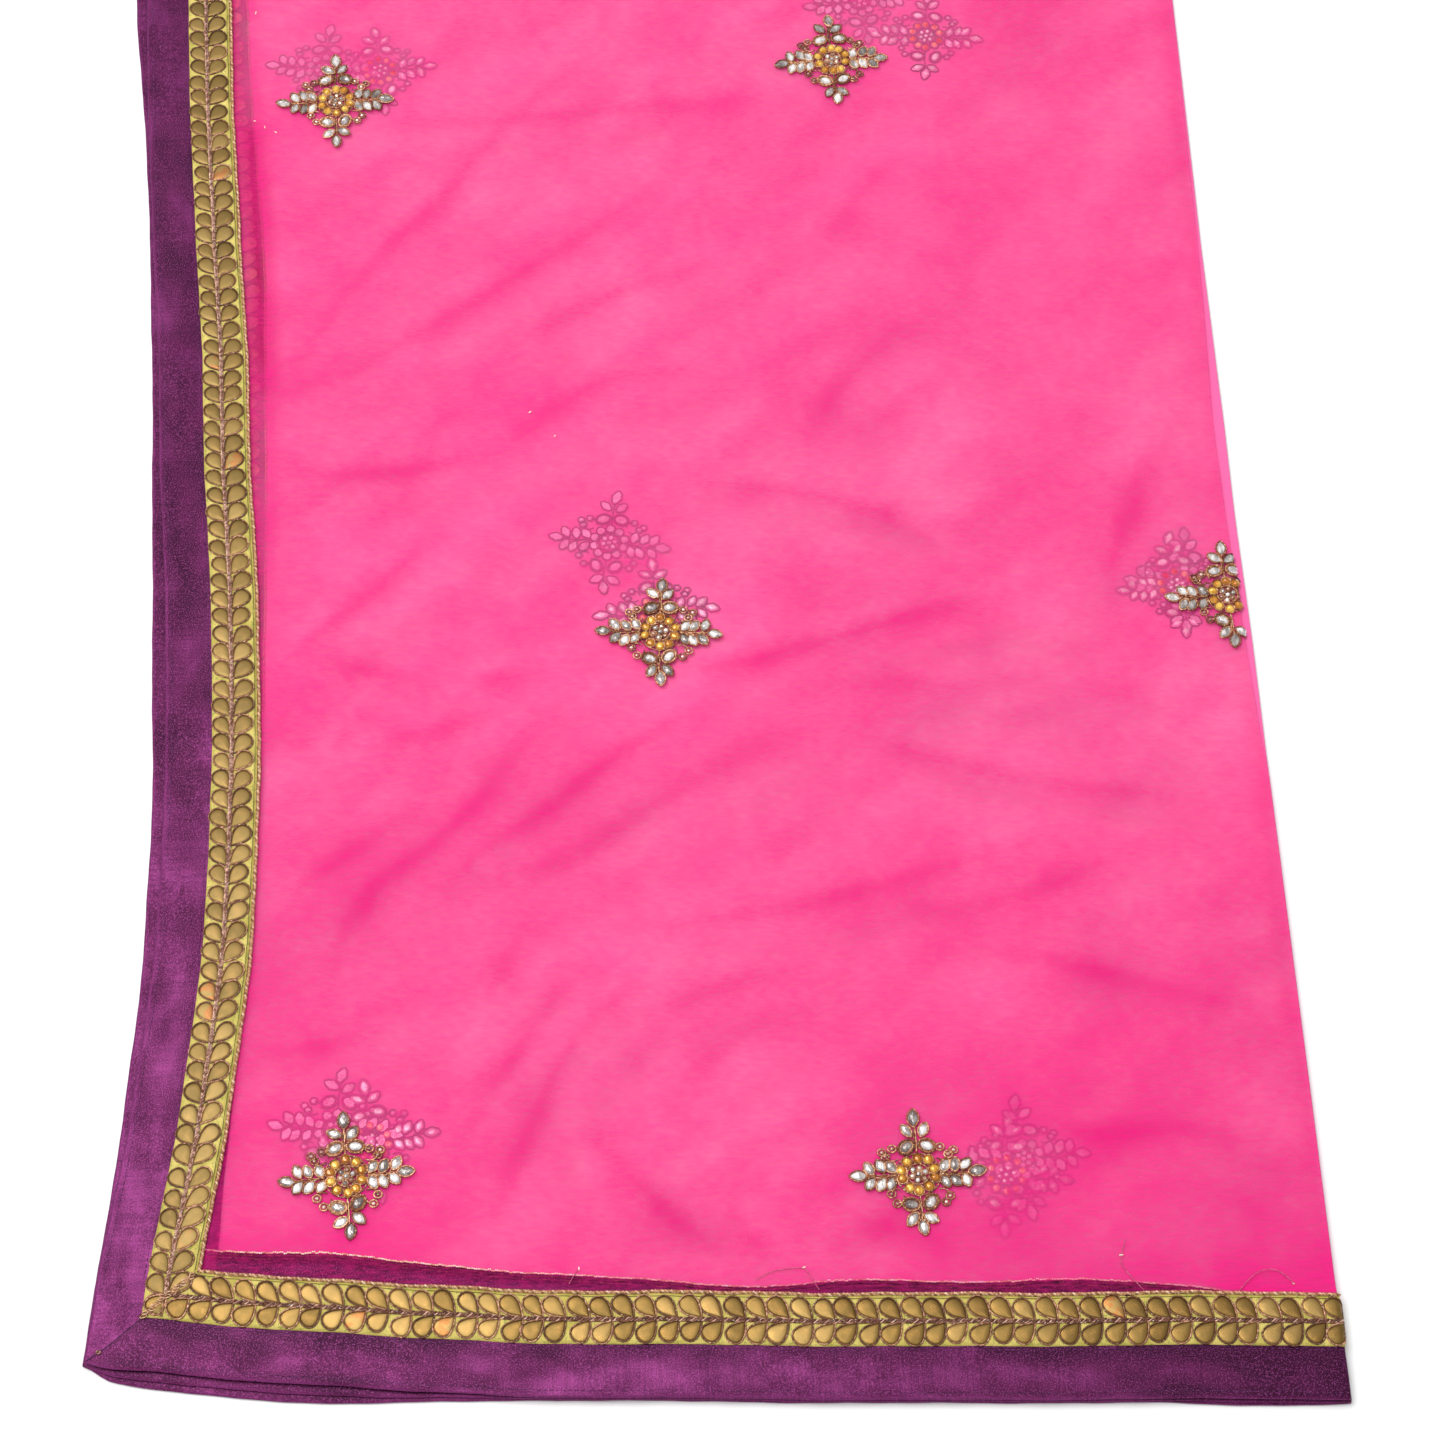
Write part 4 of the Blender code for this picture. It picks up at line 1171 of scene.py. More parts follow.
def band(name, layer, along, rows):
    """A satin border folded over the net's edge: face, rounded edge, back."""
    width = BORDER_W if along == "side" else BORDER_END_W
    ratio = BORDER_END_W / BORDER_W
    back = 0.0010
    section = []                                   # (inset, height below the face)
    for t in (1.0, 0.97, 0.86, 0.72, 0.58, 0.50, 0.44, 0.34, 0.24, 0.14, 0.07, 0.035):
        section.append((t * width, 0.0))
    for k in range(1, 6):
        angle = math.pi * k / 6
        section.append((0.0005 - 0.0005 * math.sin(angle), -(1 - math.cos(angle)) / 2 * back))
    for t in (0.035, 0.14, 0.34, 0.58, 0.86, 1.0):
        section.append((t * width, -back))
    section = np.array(section)
    t, depth = section[:, 0], section[:, 1]
    thin = 1.0 - 0.40 * np.clip(t / width, 0, 1)
    soft = 0.00012 * np.sin(np.clip(t / (width * 0.5), 0, 1) * math.pi)
    v = np.linspace(0, 1, rows)
    if along == "side":
        _, start = corner_start(layer, t)
        stop = NOSE_Y + FAR_ARC
    else:
        x, _ = corner_start(layer, t / ratio)
        start = x
        stop = fold_x(layer, 0.02) + SIDE_ARC / 2
    turned = 8
    flat_stop = stop - (FAR_ARC if along == "side" else SIDE_ARC / 2)
    v = np.linspace(0, 1, rows - turned)
    s = start[:, None] + (flat_stop - start[:, None]) * v[None]
    extra = flat_stop + (stop - flat_stop) * np.linspace(0, 1, turned + 1)[1:]
    s = np.concatenate([s, np.broadcast_to(extra, (len(t), turned))], 1)
    tt = np.broadcast_to(t[:, None], s.shape)
    h = (depth * thin)[:, None] + 0 * s
    face = (depth == 0.0)[:, None]
    seed = {"A": 0.0, "B": 2.0, "C": 4.0, "D": 6.0}[layer] + (0.0 if along == "side" else 9.0)
    wave = 0.00016 * np.sin(s * 47 + seed) * np.sin(s * 19 + tt * 120 + seed) \
        + 0.00008 * np.sin(s * 160 + seed + tt * 60)
    h = h + np.where(face, soft[:, None] + wave, 0.0)
    # the side strip laps over the end strip at the mitre
    past = s - start[:, None]
    h = h + np.where(face, (0.00022 if along == "side" else -0.0001)
                     * np.exp(-(past / 0.0022) ** 2), 0.0)
    points = (side_map if along == "side" else end_map)(layer, s, tt, h)
    soup = Soup()
    strip = np.stack([s, tt, h], -1).reshape(-1, 3)
    # painted highlight along each layer's folded edge
    edge_glow = {"A": 0.50, "B": 0.50, "C": 0.45, "D": 0.50}[layer]
    shade = satin_shade(along, s, tt) + edge_glow * np.exp(-(tt / 0.0009) ** 2)
    quads = grid_faces(len(t), s.shape[1], True)
    facing = UP[layer] * (1.0 if along == "side" else -1.0)
    soup.add(points, [quads if facing > 0 else quads[:, ::-1]], 0, True, shade.ravel(), strip)
    return soup.build(name, [SATIN])


bands = {}
for layer in "ABCD":
    fine = layer in "AD"
    bands[layer, "side"] = band(f"satin_side_{layer}", layer, "side", 300 if fine else 150)
    bands[layer, "end"] = band(f"satin_end_{layer}", layer, "end", 150 if fine else 90)


# ================================================================== leaf lace
def lace_spots(layer, along, rng):
    """Where each pair of leaves springs from the lace's vein."""
    if along == "side":
        t = PURPLE_W + LACE_W * VEIN_AT["side"]
        _, start = corner_start(layer, np.array([t]))
        s = np.arange(start[0] + 0.0012 - 2 * LEAF_PITCH, NOSE_Y + FAR_ARC - 0.001, LEAF_PITCH)
    else:
        t = PURPLE_END_W + LACE_END_W * VEIN_AT["end"]
        x, _ = corner_start(layer, np.array([t / (BORDER_END_W / BORDER_W)]))
        s = np.arange(x[0] + 0.0085 - 2 * LEAF_PITCH, fold_x(layer, 0.02) + SIDE_ARC / 2 + 0.004, LEAF_PITCH)
    s = s + rng.uniform(-0.0004, 0.0004, len(s))
    return s, np.full(len(s), t) + rng.uniform(-0.0002, 0.0002, len(s))


def leaf_shapes(layer, tall):
    """A domed foil leaf and its corded outline, point at the origin, in metres."""
    n, m, sides = {"A": (16, 20, 5), "C": (10, 12, 3), "D": (8, 10, 3)}[layer]
    length, width = 0.0112, 0.0077
    outline = teardrop(length, width, n)
    centre = np.array([length * 0.56, 0.0])
    rings = []
    for scale, z in ((1.0, 0.0), (0.95, 0.42), (0.78, 0.70), (0.42, 0.88)):
        ring = centre + (outline - centre) * scale
        rings.append(np.concatenate([ring, np.full((n, 1), z * tall)], 1))
    points = np.concatenate(rings + [np.array([[*centre, 0.92 * tall]])])
    j, k = np.arange(n), (np.arange(n) + 1) % n
    quads = np.concatenate([np.stack([j + r * n, k + r * n, k + (r + 1) * n, j + (r + 1) * n], -1)
                            for r in range(3)])
    tris = np.stack([j + 3 * n, k + 3 * n, np.full(n, 4 * n)], -1)
    dome = points, [quads, tris]
    path = teardrop(length * 1.03, width * 1.05, m)
    path = np.concatenate([path - [length * 0.015, 0.0], np.full((m, 1), 0.62 * tall)], 1)
    wave = 1.0 + 0.12 * np.sin(np.arange(m) * 2.6)
    cord = tube(path, 0.00038 * wave, sides, closed=True)
    return dome, cord


def vein_path(s0, s1, t, phase, amp, h, step=0.0008):
    s = np.arange(s0, s1, step)
    angle = 2 * math.pi * s / (LEAF_PITCH * 0.5) + phase
    return s, t + amp * np.sin(angle), h + 0.00025 + 0.00025 * np.cos(angle)


def lace(layer, along, fine, tall):
    """Lime ribbon, pairs of foil leaves with corded outlines, a braided vein."""
    rng = np.random.default_rng({"A": 11, "B": 12, "C": 13, "D": 14}[layer]
                                + (0 if along == "side" else 50))
    warp3 = side_map if along == "side" else end_map

    def warp(s, t, h):
        return warp3(layer, s, t, h)
    first = PURPLE_W if along == "side" else PURPLE_END_W
    width = LACE_W if along == "side" else LACE_END_W
    ratio = BORDER_END_W / BORDER_W
    pieces = []
    # ribbon
    soup = Soup()
    t = np.concatenate([[first], first + np.linspace(0.0, width, 8), [first + width]])
    h = np.full(len(t), 0.00028)
    h[0] = h[-1] = 0.00002
    if along == "side":
        _, start = corner_start(layer, t)
        stop = NOSE_Y + FAR_ARC
        flat_stop = NOSE_Y
    else:
        start, _ = corner_start(layer, t / ratio)
        flat_stop = float(fold_x(layer, 0.02))
        stop = flat_stop + SIDE_ARC / 2
    rows = 240 if fine else 120
    v = np.linspace(0, 1, rows)
    s = start[:, None] + (flat_stop - start[:, None]) * v[None]
    extra = flat_stop + (stop - flat_stop) * np.linspace(0, 1, 7)[1:]
    s = np.concatenate([s, np.broadcast_to(extra, (len(t), 6))], 1)
    tt = t[:, None] + 0 * s
    hh = h[:, None] + 0.00007 * np.sin(s * 300 + tt * 500) * (h[:, None] > 0.0001)
    points = warp(s, tt, hh)
    facing = UP[layer] * (1.0 if along == "side" else -1.0)
    quads = grid_faces(len(t), s.shape[1], False)
    soup.add(points, [quads[:, ::-1] if facing > 0 else quads], 0, True, 0.5,
             np.stack([s, tt, hh], -1).reshape(-1, 3))
    ground = RIBBON_SHADED if layer in "BC" else RIBBON
    pieces.append(soup.build(f"lace_ribbon_{along}_{layer}", [ground]))
    if layer == "B":
        return pieces
    # leaves
    s, t = lace_spots(layer, along, rng)
    dome, cord = leaf_shapes(layer, tall)
    leans = {("side", -1): 38.0, ("side", 1): 43.0, ("end", -1): 47.0, ("end", 1): 46.0}
    sizes = {("side", -1): 0.96, ("side", 1): 1.04, ("end", -1): 1.02, ("end", 1): 1.03}
    leaves = Soup()
    # of layer C only the inner row along the side can be seen, through A and B
    rows = (-1.0, 1.0) if layer != "C" else (1.0,) if along == "side" else ()
    for side in rows:
        n = len(s)
        spring = t + side * 0.00060
        at = s + rng.uniform(-0.0003, 0.0003, n)
        jitter = rng.uniform(-0.09, 0.09, n)
        lean = math.radians(leans[along, int(side)])
        size = rng.uniform(0.95, 1.04, n) * sizes[along, int(side)]
        tone = rng.uniform(0, 1, n)
        if along == "side":
            angle = math.pi / 2 - side * lean + jitter   # x of the template turned to +s
        else:
            angle = math.pi - side * lean + jitter
        if along == "side":
            # strip coordinates are (s, t): the template's +x must lie along +s
            angle = side * lean + jitter
        # leaves whose middle would pass the mitre are cut away there
        mid_s = at + 0.0060 * size * np.cos(angle)
        mid_t = spring + 0.0060 * size * np.sin(angle)
        if along == "side":
            keep = mid_s > corner_start(layer, mid_t)[1] - 0.0010
        else:
            keep = mid_s > corner_start(layer, mid_t / ratio)[0] - 0.0006
        put = (at[keep], spring[keep], np.full(keep.sum(), 0.0003), angle[keep], size[keep])
        leaves.spread(dome, put, warp, 0, True, tone[keep])
        leaves.spread(cord, put, warp, 1, True, rng.uniform(0, 1, keep.sum()))
    foil = LEAF_SIDE if along == "side" else LEAF_END
    if rows:
        pieces.append(leaves.build(f"lace_leaves_{along}_{layer}",
                                   [LEAF_SHADED, OUTLINE_SHADED] if layer == "C" else [foil, OUTLINE]))
    # braided vein
    braid = Soup()
    centre = first + width * VEIN_AT[along]
    if along == "side":
        _, begin = corner_start(layer, np.array([centre]))
        begin, finish = begin[0] + 0.001, NOSE_Y + FAR_ARC
    else:
        begin, _ = corner_start(layer, np.array([centre / ratio]))
        begin, finish = begin[0] + 0.001, float(fold_x(layer, 0.02)) + SIDE_ARC / 2
    strands = ((0.0, 0.62), (2.1, 0.55), (4.2, 0.62)) if fine else ((0.0, 0.6), (3.1, 0.6))
    step = 0.0008 if fine else 0.0016
    for phase, radius in strands:
        ps, pt, ph = vein_path(begin, finish, centre, phase, 0.00078, 0.75 * tall, step)
        pt = pt + rng.normal(0, 0.00005, len(ps))
        points, faces = tube(np.stack([ps, pt, ph], -1), radius * MM * 0.66, 4)
        braid.add(warp(*points.T), faces, 0, True, rng.uniform(0, 1),
                  points)
    pieces.append(braid.build(f"lace_vein_{along}_{layer}", [VEIN]))
    return pieces


def twisted(layer, along, fine):
    """Two-ply metallic cord beside the lace's inner edge."""
    width = BORDER_W if along == "side" else BORDER_END_W
    ratio = BORDER_END_W / BORDER_W
    warp = side_map if along == "side" else end_map
    t0 = width + 0.0007
    if along == "side":
        _, begin = corner_start(layer, np.array([t0]))
        begin, finish = begin[0], NOSE_Y + FAR_ARC
    else:
        begin, _ = corner_start(layer, np.array([t0 / ratio]))
        begin, finish = begin[0], float(fold_x(layer, 0.02)) + SIDE_ARC / 2
    soup = Soup()
    rng = np.random.default_rng(70 + ord(layer) + (0 if along == "side" else 9))
    if fine:
        s = np.arange(begin, finish, 0.00062)
        for phase in (0.0, math.pi):
            angle = 2 * math.pi * s / 0.0027 + phase + 0.4 * np.sin(s * 90)
            path = np.stack([s, t0 + 0.00048 * np.cos(angle) + wobble(s, 2.0, 0.00025),
                             0.00030 + 0.00040 * np.sin(angle)], -1)
            points, faces = tube(path, 0.00052, 4)
            tone = np.repeat(0.5 + 0.5 * np.sin(s * 700 + phase), 4)
            soup.add(warp(layer, *points.T), faces, 0, True, tone, points)
    else:
        s = np.arange(begin, finish, 0.0014)
        swell = 0.00062 + 0.00010 * np.sin(np.arange(len(s)) * 2.0)
        tall = 0.0002 if layer != "D" else 0.0
        path = np.stack([s, t0 + 0 * s, tall + 0 * s], -1)
        points, faces = tube(path, swell if layer != "D" else swell * 0.75, 6)
        soup.add(warp(layer, *points.T), faces, 0, True, 0.5, points)
    # a thin dark line of stitching between ribbon and cord
    s = np.arange(begin, finish, 0.0022 if fine else 0.005)
    h0 = 0.00034 if layer != "D" else 0.0003
    path = np.stack([s, width - 0.0011 + rng.normal(0, 0.00006, len(s)), h0 + 0 * s], -1)
    points, faces = tube(path, 0.00016, 4)
    soup.add(warp(layer, *points.T), faces, 1, True, 0.3, points)
    return soup.build(f"twisted_cord_{along}_{layer}", [CORD, GREEN_THREAD])


laces, cords = {}, {}
for layer in "ABCD":
    fine = layer == "A"
    tall = {"A": 0.00062, "B": 0.0006, "C": 0.0005, "D": 0.0006}[layer]
    for along in ("side", "end"):
        laces[layer, along] = lace(layer, along, fine, tall)
        if layer != "B":
            cords[layer, along] = twisted(layer, along, fine)


# ================================================================== stitching
def dashes(soup, warp, s, t, h, length, radius, mat=0, across=0.0, rng=None, sides=4):
    """Short stitches along a strip line."""
    n = 3
    a = np.linspace(-0.5, 0.5, n)
    arch = np.concatenate([[-0.6], np.ones(n - 2), [-0.6]]) * radius
    path = np.stack([a * length, a * across, arch], -1)
    shape = tube(path, radius, sides)
    k = len(s)
    jitter = rng.uniform(-1, 1, k) if rng is not None else np.zeros(k)
    tone = rng.uniform(0, 1, k) if rng is not None else np.full(k, 0.5)
    soup.spread(shape, (s, t, h, jitter * 0.12, np.ones(k)), warp, mat, True, tone)


def stitching():
    made = []
    rng = np.random.default_rng(5)
    for layer in "ABD":
        soup = Soup()
        # layer B's stitches along the side lie under A's cord, so they are left out
        for along in ("end",) if layer == "B" else ("side", "end"):
            warp3 = side_map if along == "side" else end_map

            def warp(s, t, h, warp3=warp3, layer=layer):
                return warp3(layer, s, t, h)
            purple = PURPLE_W if along == "side" else PURPLE_END_W
            width = BORDER_W if along == "side" else BORDER_END_W
            if along == "side":
                start, stop = 0.034, NOSE_Y
            else:
                start, stop = -0.258, NOSE_X
            if layer == "B":
                # the back of the cord's stitches shows as a dotted copper line, its dots painted near-white
                # as glints
                s = np.arange(start + 0.038, stop, 0.0015)
                dashes(soup, warp, s, np.full(len(s), width + 0.0003) + rng.normal(0, 0.00014, len(s)),
                       np.full(len(s), -0.00070), 0.0011, 0.00040, 0, 0.0, rng)
                for inset in (0.0010, 0.0024):
                    run = s[::2]
                    dashes(soup, warp, run, np.full(len(run), width - inset),
                           np.full(len(run), -0.00066), 0.0026, 0.00020, 2, 0.0, rng)
            else:
                if along == "side":
                    s = np.arange(start + 0.026, stop, 0.0026)
                else:
                    s = np.arange(start + 0.022, stop, 0.0026)
                for inset in (purple - 0.0014, 0.0030):
                    begin = s[0] - (0.020 if inset < 0.01 else 0.0)
                    run = np.arange(begin, stop, 0.0026)
                    dashes(soup, warp, run, np.full(len(run), inset), np.full(len(run), 0.00012),
                           0.0017, 0.00011, 1, 0.0, rng, 3 if layer == "D" else 4)
        made.append(soup.build(f"stitching_{layer}", [GLINT if layer == "B" else CORD,
                                                      PURPLE_THREAD, HIDDEN_WIRE]))
    return made


def mitre_seam(layer):
    """Copper stitches laid over the lace's mitre, the satin's own seam, a knot."""
    rng = np.random.default_rng(21)
    soup = Soup()
    ratio = BORDER_END_W / BORDER_W

    def on_mitre(part, off=0.0, h=0.0):
        t = part * BORDER_W
        x, y = corner_start(layer, t)
        z = face_of[layer](t) + UP[layer] * h
        return np.stack([x + off * 0.70, y - off * 0.70, z], -1)
    lift = 1.0 if layer == "A" else 0.55
    for off, phase in ((-0.0007, 0.0), (0.0, 2.0), (0.0007, 4.0)):
        part = np.linspace(0.50, 0.99, 60)
        path = on_mitre(part, off + 0.0005 * np.sin(part * 90 + phase),
                        (0.00085 + 0.0002 * np.cos(part * 90 + phase)) * lift)
        points, faces = tube(path, 0.00030 * (0.6 + 0.4 * lift), 5)
        soup.add(points, faces, 3, True, rng.uniform(0, 1))
    for part in np.linspace(0.51, 0.985, 30):
        ends = []
        for k in np.linspace(-1, 1, 6):
            here = min(0.99, part + k * 0.012 + rng.uniform(-0.004, 0.004))
            p = on_mitre(np.array([here]), k * 0.0015, (0.0012 - 0.0006 * k * k) * lift)[0]
            ends.append(p)
        points, faces = tube(np.array(ends), 0.00022, 4)
        soup.add(points, faces, int(rng.choice((0, 3, 2))), True, rng.uniform(0, 1))
    part = np.linspace(0.03, 0.50, 40)
    path = on_mitre(part, 0.0001, 0.00010)
    points, faces = tube(path, 0.00020, 4)
    soup.add(points, faces, 1, True, 0.2)
    # knot near the corner
    a = np.linspace(0, 5 * math.pi, 40)
    spot = on_mitre(np.array([0.135]), 0.0, 0.0004 * lift)[0]
    path = spot + np.stack([0.0009 * np.cos(a), 0.0006 * np.sin(a),
                            UP[layer] * (0.0003 * np.sin(a * 0.5) + 0.0001)], -1)
    points, faces = tube(path, 0.0003, 5)
    soup.add(points, faces, 2, True, 0.6)
    return soup.build(f"mitre_seam_{layer}", [OUTLINE, PURPLE_THREAD, VEIN, CORD])


stitches = stitching()
seams = [mitre_seam("A"), mitre_seam("D")]


# ================================================================== embroidery
def arc_wire(x0, y0, x1, y1, bulge, count=8):
    t = np.linspace(0, 1, count)
    nx, ny = -(y1 - y0), x1 - x0
    size = math.hypot(nx, ny) or 1.0
    bow = np.sin(t * math.pi) * bulge
    return np.stack([x0 + (x1 - x0) * t + nx / size * bow,
                     y0 + (y1 - y0) * t + ny / size * bow], -1)


def booti_parts(seed, fine):
    """Every stone and wire of one motif: (kind, shape in mm, x, y, h, angle)."""
    rng = np.random.default_rng(seed)
    stones, wires = [], []            # stones: (material, points, faces, tone)
    n = 14 if fine else 8
    sides = 5 if fine else 3

    def put(shape, x, y, h, angle, mat, smooth, tone, into):
        points, faces = shape
        c, s = math.cos(angle), math.sin(angle)
        out = np.stack([x + points[:, 0] * c - points[:, 1] * s,
                        y + points[:, 0] * s + points[:, 1] * c, h + points[:, 2]], -1)
        into.append((out, faces, mat, smooth, tone))

    def loop(outline, h, radius, x, y, angle, tone, count=None, ply=None):
        if ply is None:
            path = np.concatenate([outline, np.full((len(outline), 1), h)], 1)
            put(tube(path, radius, sides, closed=True), x, y, 0.0, angle, 2, True, tone, wires)
            return
        m = len(outline)
        a = np.arange(m) / m * 2 * math.pi * ply
        ahead = np.roll(outline, -1, 0) - np.roll(outline, 1, 0)
        ahead /= np.linalg.norm(ahead, axis=1)[:, None]
        normal = np.stack([-ahead[:, 1], ahead[:, 0]], -1)
        for phase in (0.0, math.pi):
            path = np.concatenate([outline + normal * (radius * 0.85 * np.cos(a + phase))[:, None],
                                   (h + radius * 0.85 * np.sin(a + phase))[:, None]], 1)
            put(tube(path, radius, sides, closed=True), x, y, 0.0, angle, 2, True,
                tone, wires)

    for x, y, angle, length, width in SILVER:
        x, y = x + rng.normal(0, 0.35), y + rng.normal(0, 0.35)
        turn_by = math.radians(angle + rng.normal(0, 9))
        size = rng.uniform(0.92, 1.06)
        outline = almond(length * size * 1.10, width * size * 1.10, n, 2.0)
        put(cut_stone(outline, 1.15, rng.integers(999)), x, y, 0.25, turn_by, 0, False,
            rng.uniform(0, 1), stones)
        ring = almond(length * size * 1.26, width * size * 1.34, n + (2 if fine else 0), 1.6)
        loop(ring, 0.45, 0.42 if fine else 0.44, x, y, turn_by, rng.uniform(0, 1))
    for x, y, angle in OVALS:
        x, y = x + rng.normal(0, 0.3), y + rng.normal(0, 0.3)
        turn_by = math.radians(angle + rng.normal(0, 12))
        outline = almond(5.8, 4.0, n, 1.15)
        put(cut_stone(outline, 1.45, rng.integers(999)), x, y, 0.3, turn_by, 0, False,
            rng.uniform(0, 1), stones)
        loop(oval(6.5, 4.7, n + 4), 0.6, 0.26, x, y, turn_by, rng.uniform(0, 1))
        loop(oval(7.9, 6.1, 44 if fine else 12), 0.6, 0.36 if fine else 0.42, x, y, turn_by,
             rng.uniform(0, 1), ply=9 if fine else None)
    for k in range(AMBER_COUNT):
        a = 2 * math.pi * (k + 0.5) / AMBER_COUNT + rng.normal(0, 0.04)
        r = AMBER_R + rng.normal(0, 0.2)
        x, y = r * math.cos(a) * 0.98, r * math.sin(a)
        outline = oval(AMBER_D, AMBER_D * 0.95, 10 if fine else 7)
        put(cut_stone(outline, 1.5, rng.integers(999)), x, y, 0.3, a, 1, False,
            rng.uniform(0, 1), stones)
        loop(oval(AMBER_D * 1.20, AMBER_D * 1.14, 12 if fine else 8), 0.5, 0.34 if fine else 0.46, x, y, a,
             rng.uniform(0, 1))
    # centre cluster
    for k in range(7):
        a = 2 * math.pi * k / 6 + 0.3
        r = 0.0 if k == 6 else 3.05 + rng.normal(0, 0.15)
        x, y = r * math.cos(a), r * math.sin(a)
        put(cut_stone(oval(2.5, 2.3, 8 if fine else 6), 1.3, rng.integers(999)), x, y, 0.35, a,
            3 if k % 2 else 0, False, rng.uniform(0, 1), stones)
        loop(oval(3.0, 2.8, 10 if fine else 6), 0.6, 0.24, x, y, a, rng.uniform(0, 1))
    loop(oval(10.0, 9.6, 60 if fine else 14), 0.6, 0.26 if fine else 0.4, 0, 0, 0.0, 0.6,
         ply=12 if fine else None)
    loop(oval(12.6, 12.4, 24 if fine else 12), 0.35, 0.34, 0, 0, 0.0, 0.3)
    if fine:
        loop(oval(20.2, 19.6, 30), 0.30, 0.34, 0, 0, 0.0, 0.4)
    # curls with ring beads
    for bx, by, rx, ry, bulge in CURLS:
        bx, by = bx + rng.normal(0, 0.35), by + rng.normal(0, 0.35)
        path = arc_wire(rx, ry, bx, by, bulge, 8 if fine else 5)
        path = np.concatenate([path, 0.35 + 0.25 * np.sin(np.linspace(0, math.pi, len(path)))[:, None]], 1)
        put(tube(path, 0.33, sides), 0, 0, 0, 0, 2, True, rng.uniform(0, 1), wires)
        loop(oval(3.8, 3.5, 12 if fine else 6), 0.45, 0.42, bx, by, 0.0, rng.uniform(0, 1))
        put(cut_stone(oval(2.0, 1.9, 6), 0.9, 1), bx, by, 0.25, 0, 3, False,
            rng.uniform(0, 1), stones)
    # stems of the arms and of the fleurs
    stems = [((-9.5, 0.3), (-24.0, 0.2), 0.5), ((9.5, 0.0), (24.0, -0.1), -0.5),
             ((0.0, 9.8), (0.0, 23.0), 0.3), ((0.0, -10.0), (0.2, -22.5), -0.3)]
    for (x0, y0), (x1, y1), bulge in stems:
        for off in ((-0.22, 0.22) if fine else (0.0,)):
            path = arc_wire(x0, y0, x1, y1, bulge + off * 2, 14 if fine else 6)
            ripple = 0.3 * np.sin(np.arange(len(path)) * 1.9 + off * 9)
            path = np.concatenate([path + ripple[:, None] * [0.3, 1.0],
                                   np.full((len(path), 1), 0.45)], 1)
            put(tube(path, 0.36, sides), 0, 0, 0, 0, 2, True, rng.uniform(0, 1), wires)
    for x, y, angle, length, width in SILVER:
        if abs(y) < 6 and abs(x) < 25:
            root = (x - math.copysign(2.4, x), 0.2)
            tip = (x - math.copysign(0.9, x), y * 0.42)
            path = arc_wire(*root, *tip, 0.2, 4)
            path = np.concatenate([path, np.full((4, 1), 0.45)], 1)
            put(tube(path, 0.24, sides), 0, 0, 0, 0, 2, True, rng.uniform(0, 1), wires)
    return stones + wires


def booti(name, layer, cx, cy, turn_deg, seed, fine, tall=1.0):
    """One motif on a layer's face, following its net."""
    soup = Soup()
    angle = math.radians(turn_deg)
    c, s = math.cos(angle), math.sin(angle)
    gone = 0
    for points, faces, mat, smooth, tone in booti_parts(seed, fine):
        x = cx + (points[:, 0] * c - points[:, 1] * s) * MM * 0.96
        y = cy + (points[:, 0] * s + points[:, 1] * c) * MM * 0.96
        h = points[:, 2] * MM * tall
        mx, my = x.mean(), y.mean()
        stop = float(fold_x(layer, my))
        if mx > stop + 0.0004:
            gone += 1
            continue
        z0 = net_height(layer, x, y)
        z = z0 + UP[layer] * (h + 0.00015)
        over = x - stop
        bent = over > 0
        if bent.any():
            # what reaches the fold leans over it
            partner = net_height(TURN_SIDE[layer], np.minimum(x, stop), y)
            mid, r = (z0 + partner) / 2, np.abs(z0 - partner) / 2
            reach = np.abs(z - mid)
            phi = np.clip(over / np.maximum(r, 0.0006), 0, math.pi * 0.62)
            x = np.where(bent, stop + reach * np.sin(phi), x)
            z = np.where(bent, mid + UP[layer] * reach * np.cos(phi), z)
        soup.add(np.stack([x, y, z], -1), [f if UP[layer] > 0 else np.asarray(f)[:, ::-1]
                                          for f in faces], mat, smooth, tone)
    if layer in "BC":
        return soup.build(name, [HIDDEN_STONE, HIDDEN_AMBER if layer == "C" else HIDDEN_STONE,
                                 HIDDEN_WIRE, HIDDEN_STONE])
    return soup.build(name, [SILVER_STONE, AMBER_STONE, WIRE, ROSE_STONE])


bootis = {}
for k, (number, x, y, angle) in enumerate(TOP_BOOTIS):
    bootis[number] = booti(f"embroidery_{number}", "A", x, y, angle, 100 + k, True)
hidden = []
for layer, rows in HIDDEN_BOOTIS.items():
    tall = {"B": 0.6, "C": 0.7, "D": 0.40}[layer]
    for k, (x, y, angle) in enumerate(rows):
        hidden.append(booti(f"embroidery_{layer}_{k + 1:02d}", layer, x, y, angle,
                            300 + ord(layer) * 10 + k, False, tall))


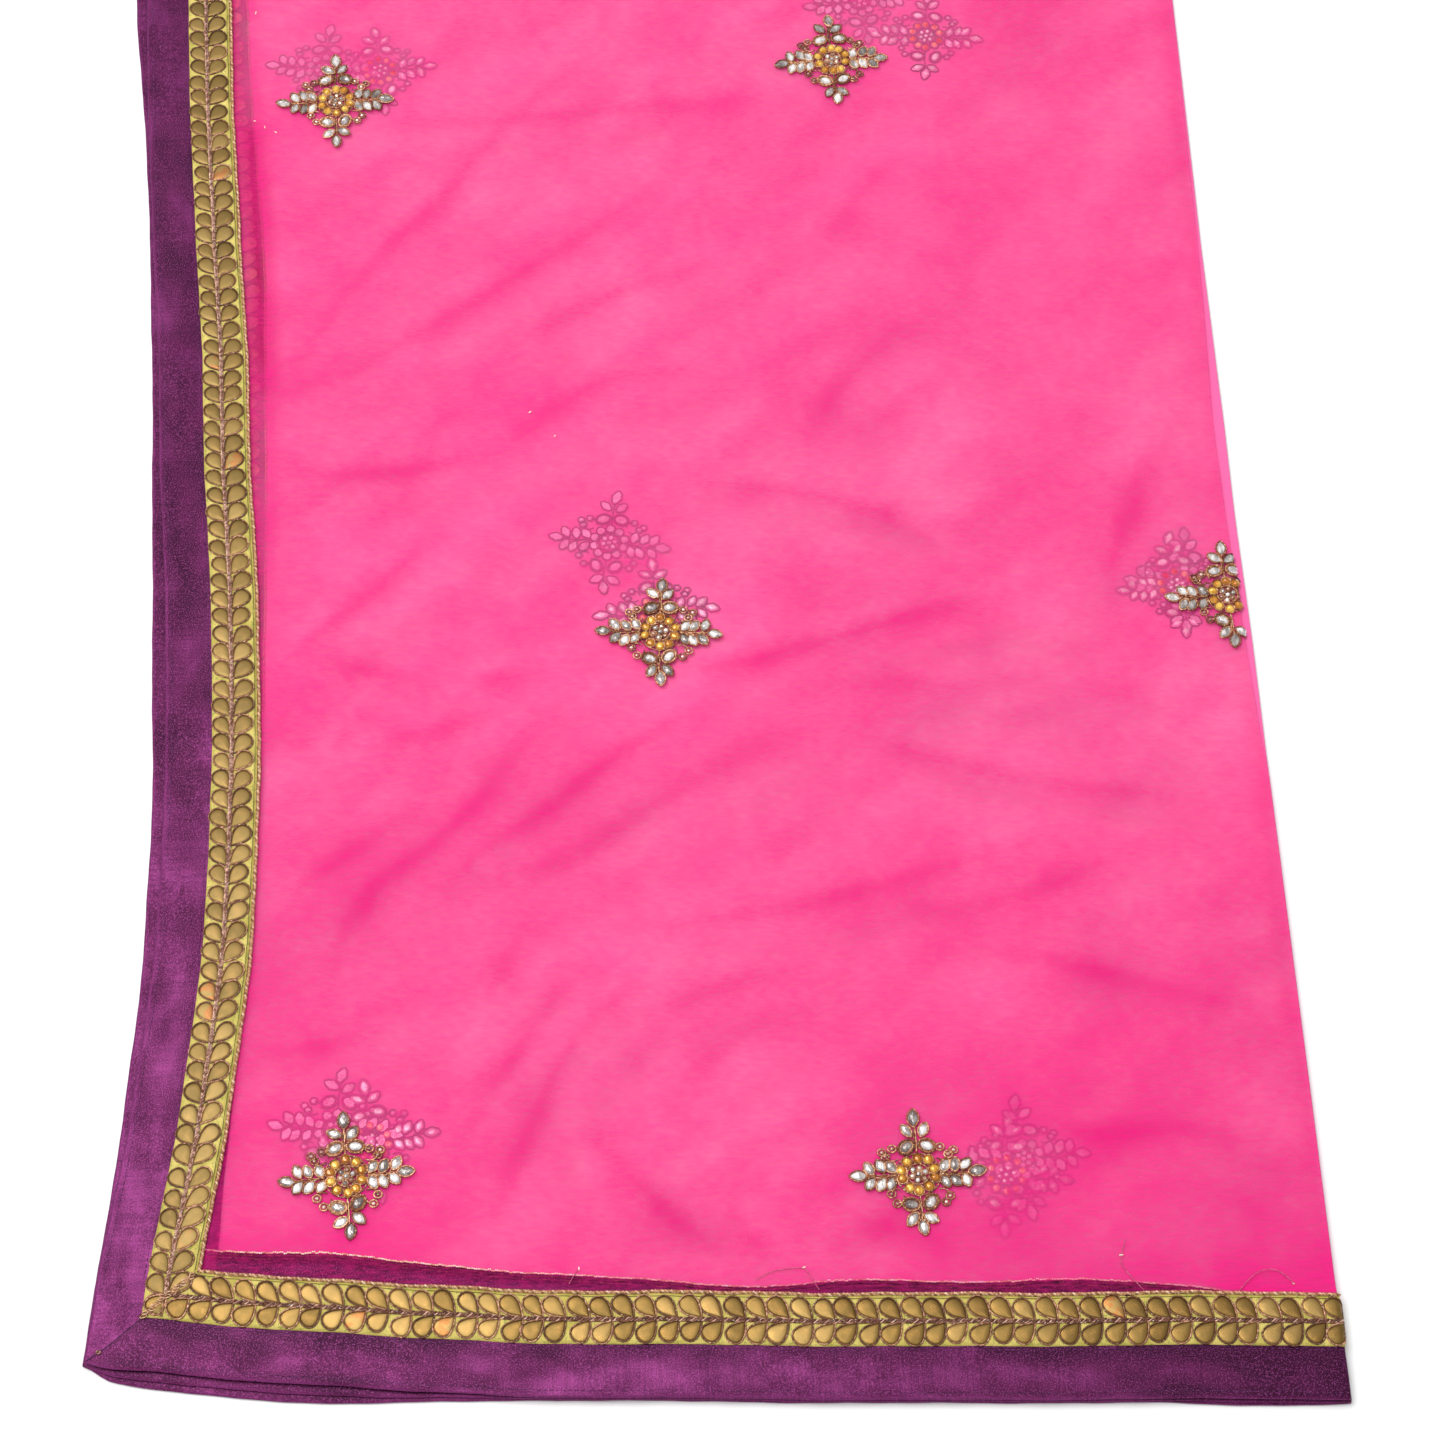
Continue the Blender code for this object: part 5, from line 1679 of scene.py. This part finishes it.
# ================================================================== stray threads
def stray():
    """Loose thread ends that lie on the net, some with a bright gold tip, and a few short bright flakes;
    their brightness is painted glint, near-white and not metallic.
    """
    soup = Soup()
    threads = (
        # course, then the place of its bright end
        (((.0156, .0495), (.0221, .0527), (.0290, .0540), (.0367, .0539), (.0398, .0490),
          (.0426, .0441)), (.0367, .0545)),
        (((.1743, .0616), (.1718, .0534), (.1730, .0481), (.1802, .0387)), (.1720, .0550)),
        (((.2205, .0376), (.2285, .0447), (.2368, .0457), (.2438, .0398)), (.2438, .0398)),
        (((-.0633, .0506), (-.0612, .0544), (-.0590, .0574)), (-.0590, .0574)),
    )
    glints = ((-.2153, .7314), (-.2138, .6625), (-.2087, .6586), (-.2030, .6553),
              (-.0757, .4847), (-.0638, .4707))
    for course, tip in threads:
        pts = np.array(course)
        t = np.linspace(0, len(pts) - 1, 30)
        k = np.clip(t.astype(int), 0, len(pts) - 2)
        f = (t - k)[:, None]
        before, after = pts[np.maximum(k - 1, 0)], pts[np.minimum(k + 2, len(pts) - 1)]
        p, q = pts[k], pts[k + 1]
        xy = 0.5 * (2 * p + (q - before) * f + (2 * before - 5 * p + 4 * q - after) * f ** 2
                    + (3 * p - before - 3 * q + after) * f ** 3)
        z = net_height("A", xy[:, 0], xy[:, 1]) + 0.0003
        z = np.maximum(z, face_of["A"](np.full(len(z), 0.044)) * (xy[:, 1] < 0.050)) + 0.0002
        points, faces = tube(np.column_stack([xy, z]), 0.00020, 5)
        soup.add(points, faces, 1, True, 0.7)
        glints += (tip,)
    rng = np.random.default_rng(33)
    for x, y in glints:
        turn_by, half = rng.uniform(0, math.pi), rng.uniform(0.0005, 0.0010)
        f = np.linspace(-1, 1, 4) * half
        z = float(net_height("A", np.array([x]), np.array([y]))[0]) + 0.0006
        points, faces = tube(np.stack([x + f * math.cos(turn_by), y + f * math.sin(turn_by),
                                       z + 0 * f], -1), 0.00026, 5)
        soup.add(points, faces, 0, True, 0.9)
    return soup.build("stray_threads", [GLINT, STRAY_THREAD])


strays = stray()

# ================================================================== the table
for piece, nodes, slot in (
        (upper_leaf, ("net_top_layer",), "net"),
        (lower_leaf, ("net_hidden_layers",), "net"),
        (bands["A", "side"], ("border_side",), "satin"),
        (bands["A", "end"], ("border_end",), "satin"),
        (laces["A", "side"][0], ("lace_side",), "lace"),
        (laces["A", "end"][0], ("lace_end",), "lace"),
        (cords["A", "side"], ("cord_side",), "cord"),
        (cords["A", "end"], ("cord_end",), "cord")):
    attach(piece, "root")
    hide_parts(*nodes)
for number, piece in bootis.items():
    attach(piece, "root")
    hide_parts(f"booti_{number}")
rest = [(hidden, "embroidery"), (stitches + seams + [strays], "cord"),
        ([p for key, p in bands.items() if key[0] != "A"], "satin"),
        ([p for key, ps in laces.items() for k, p in enumerate(ps)
          if not (key[0] == "A" and k == 0)], "lace"),
        ([p for key, p in cords.items() if key[0] != "A"], "cord")]
for group, slot in rest:
    for piece in group:
        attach(piece, "root")
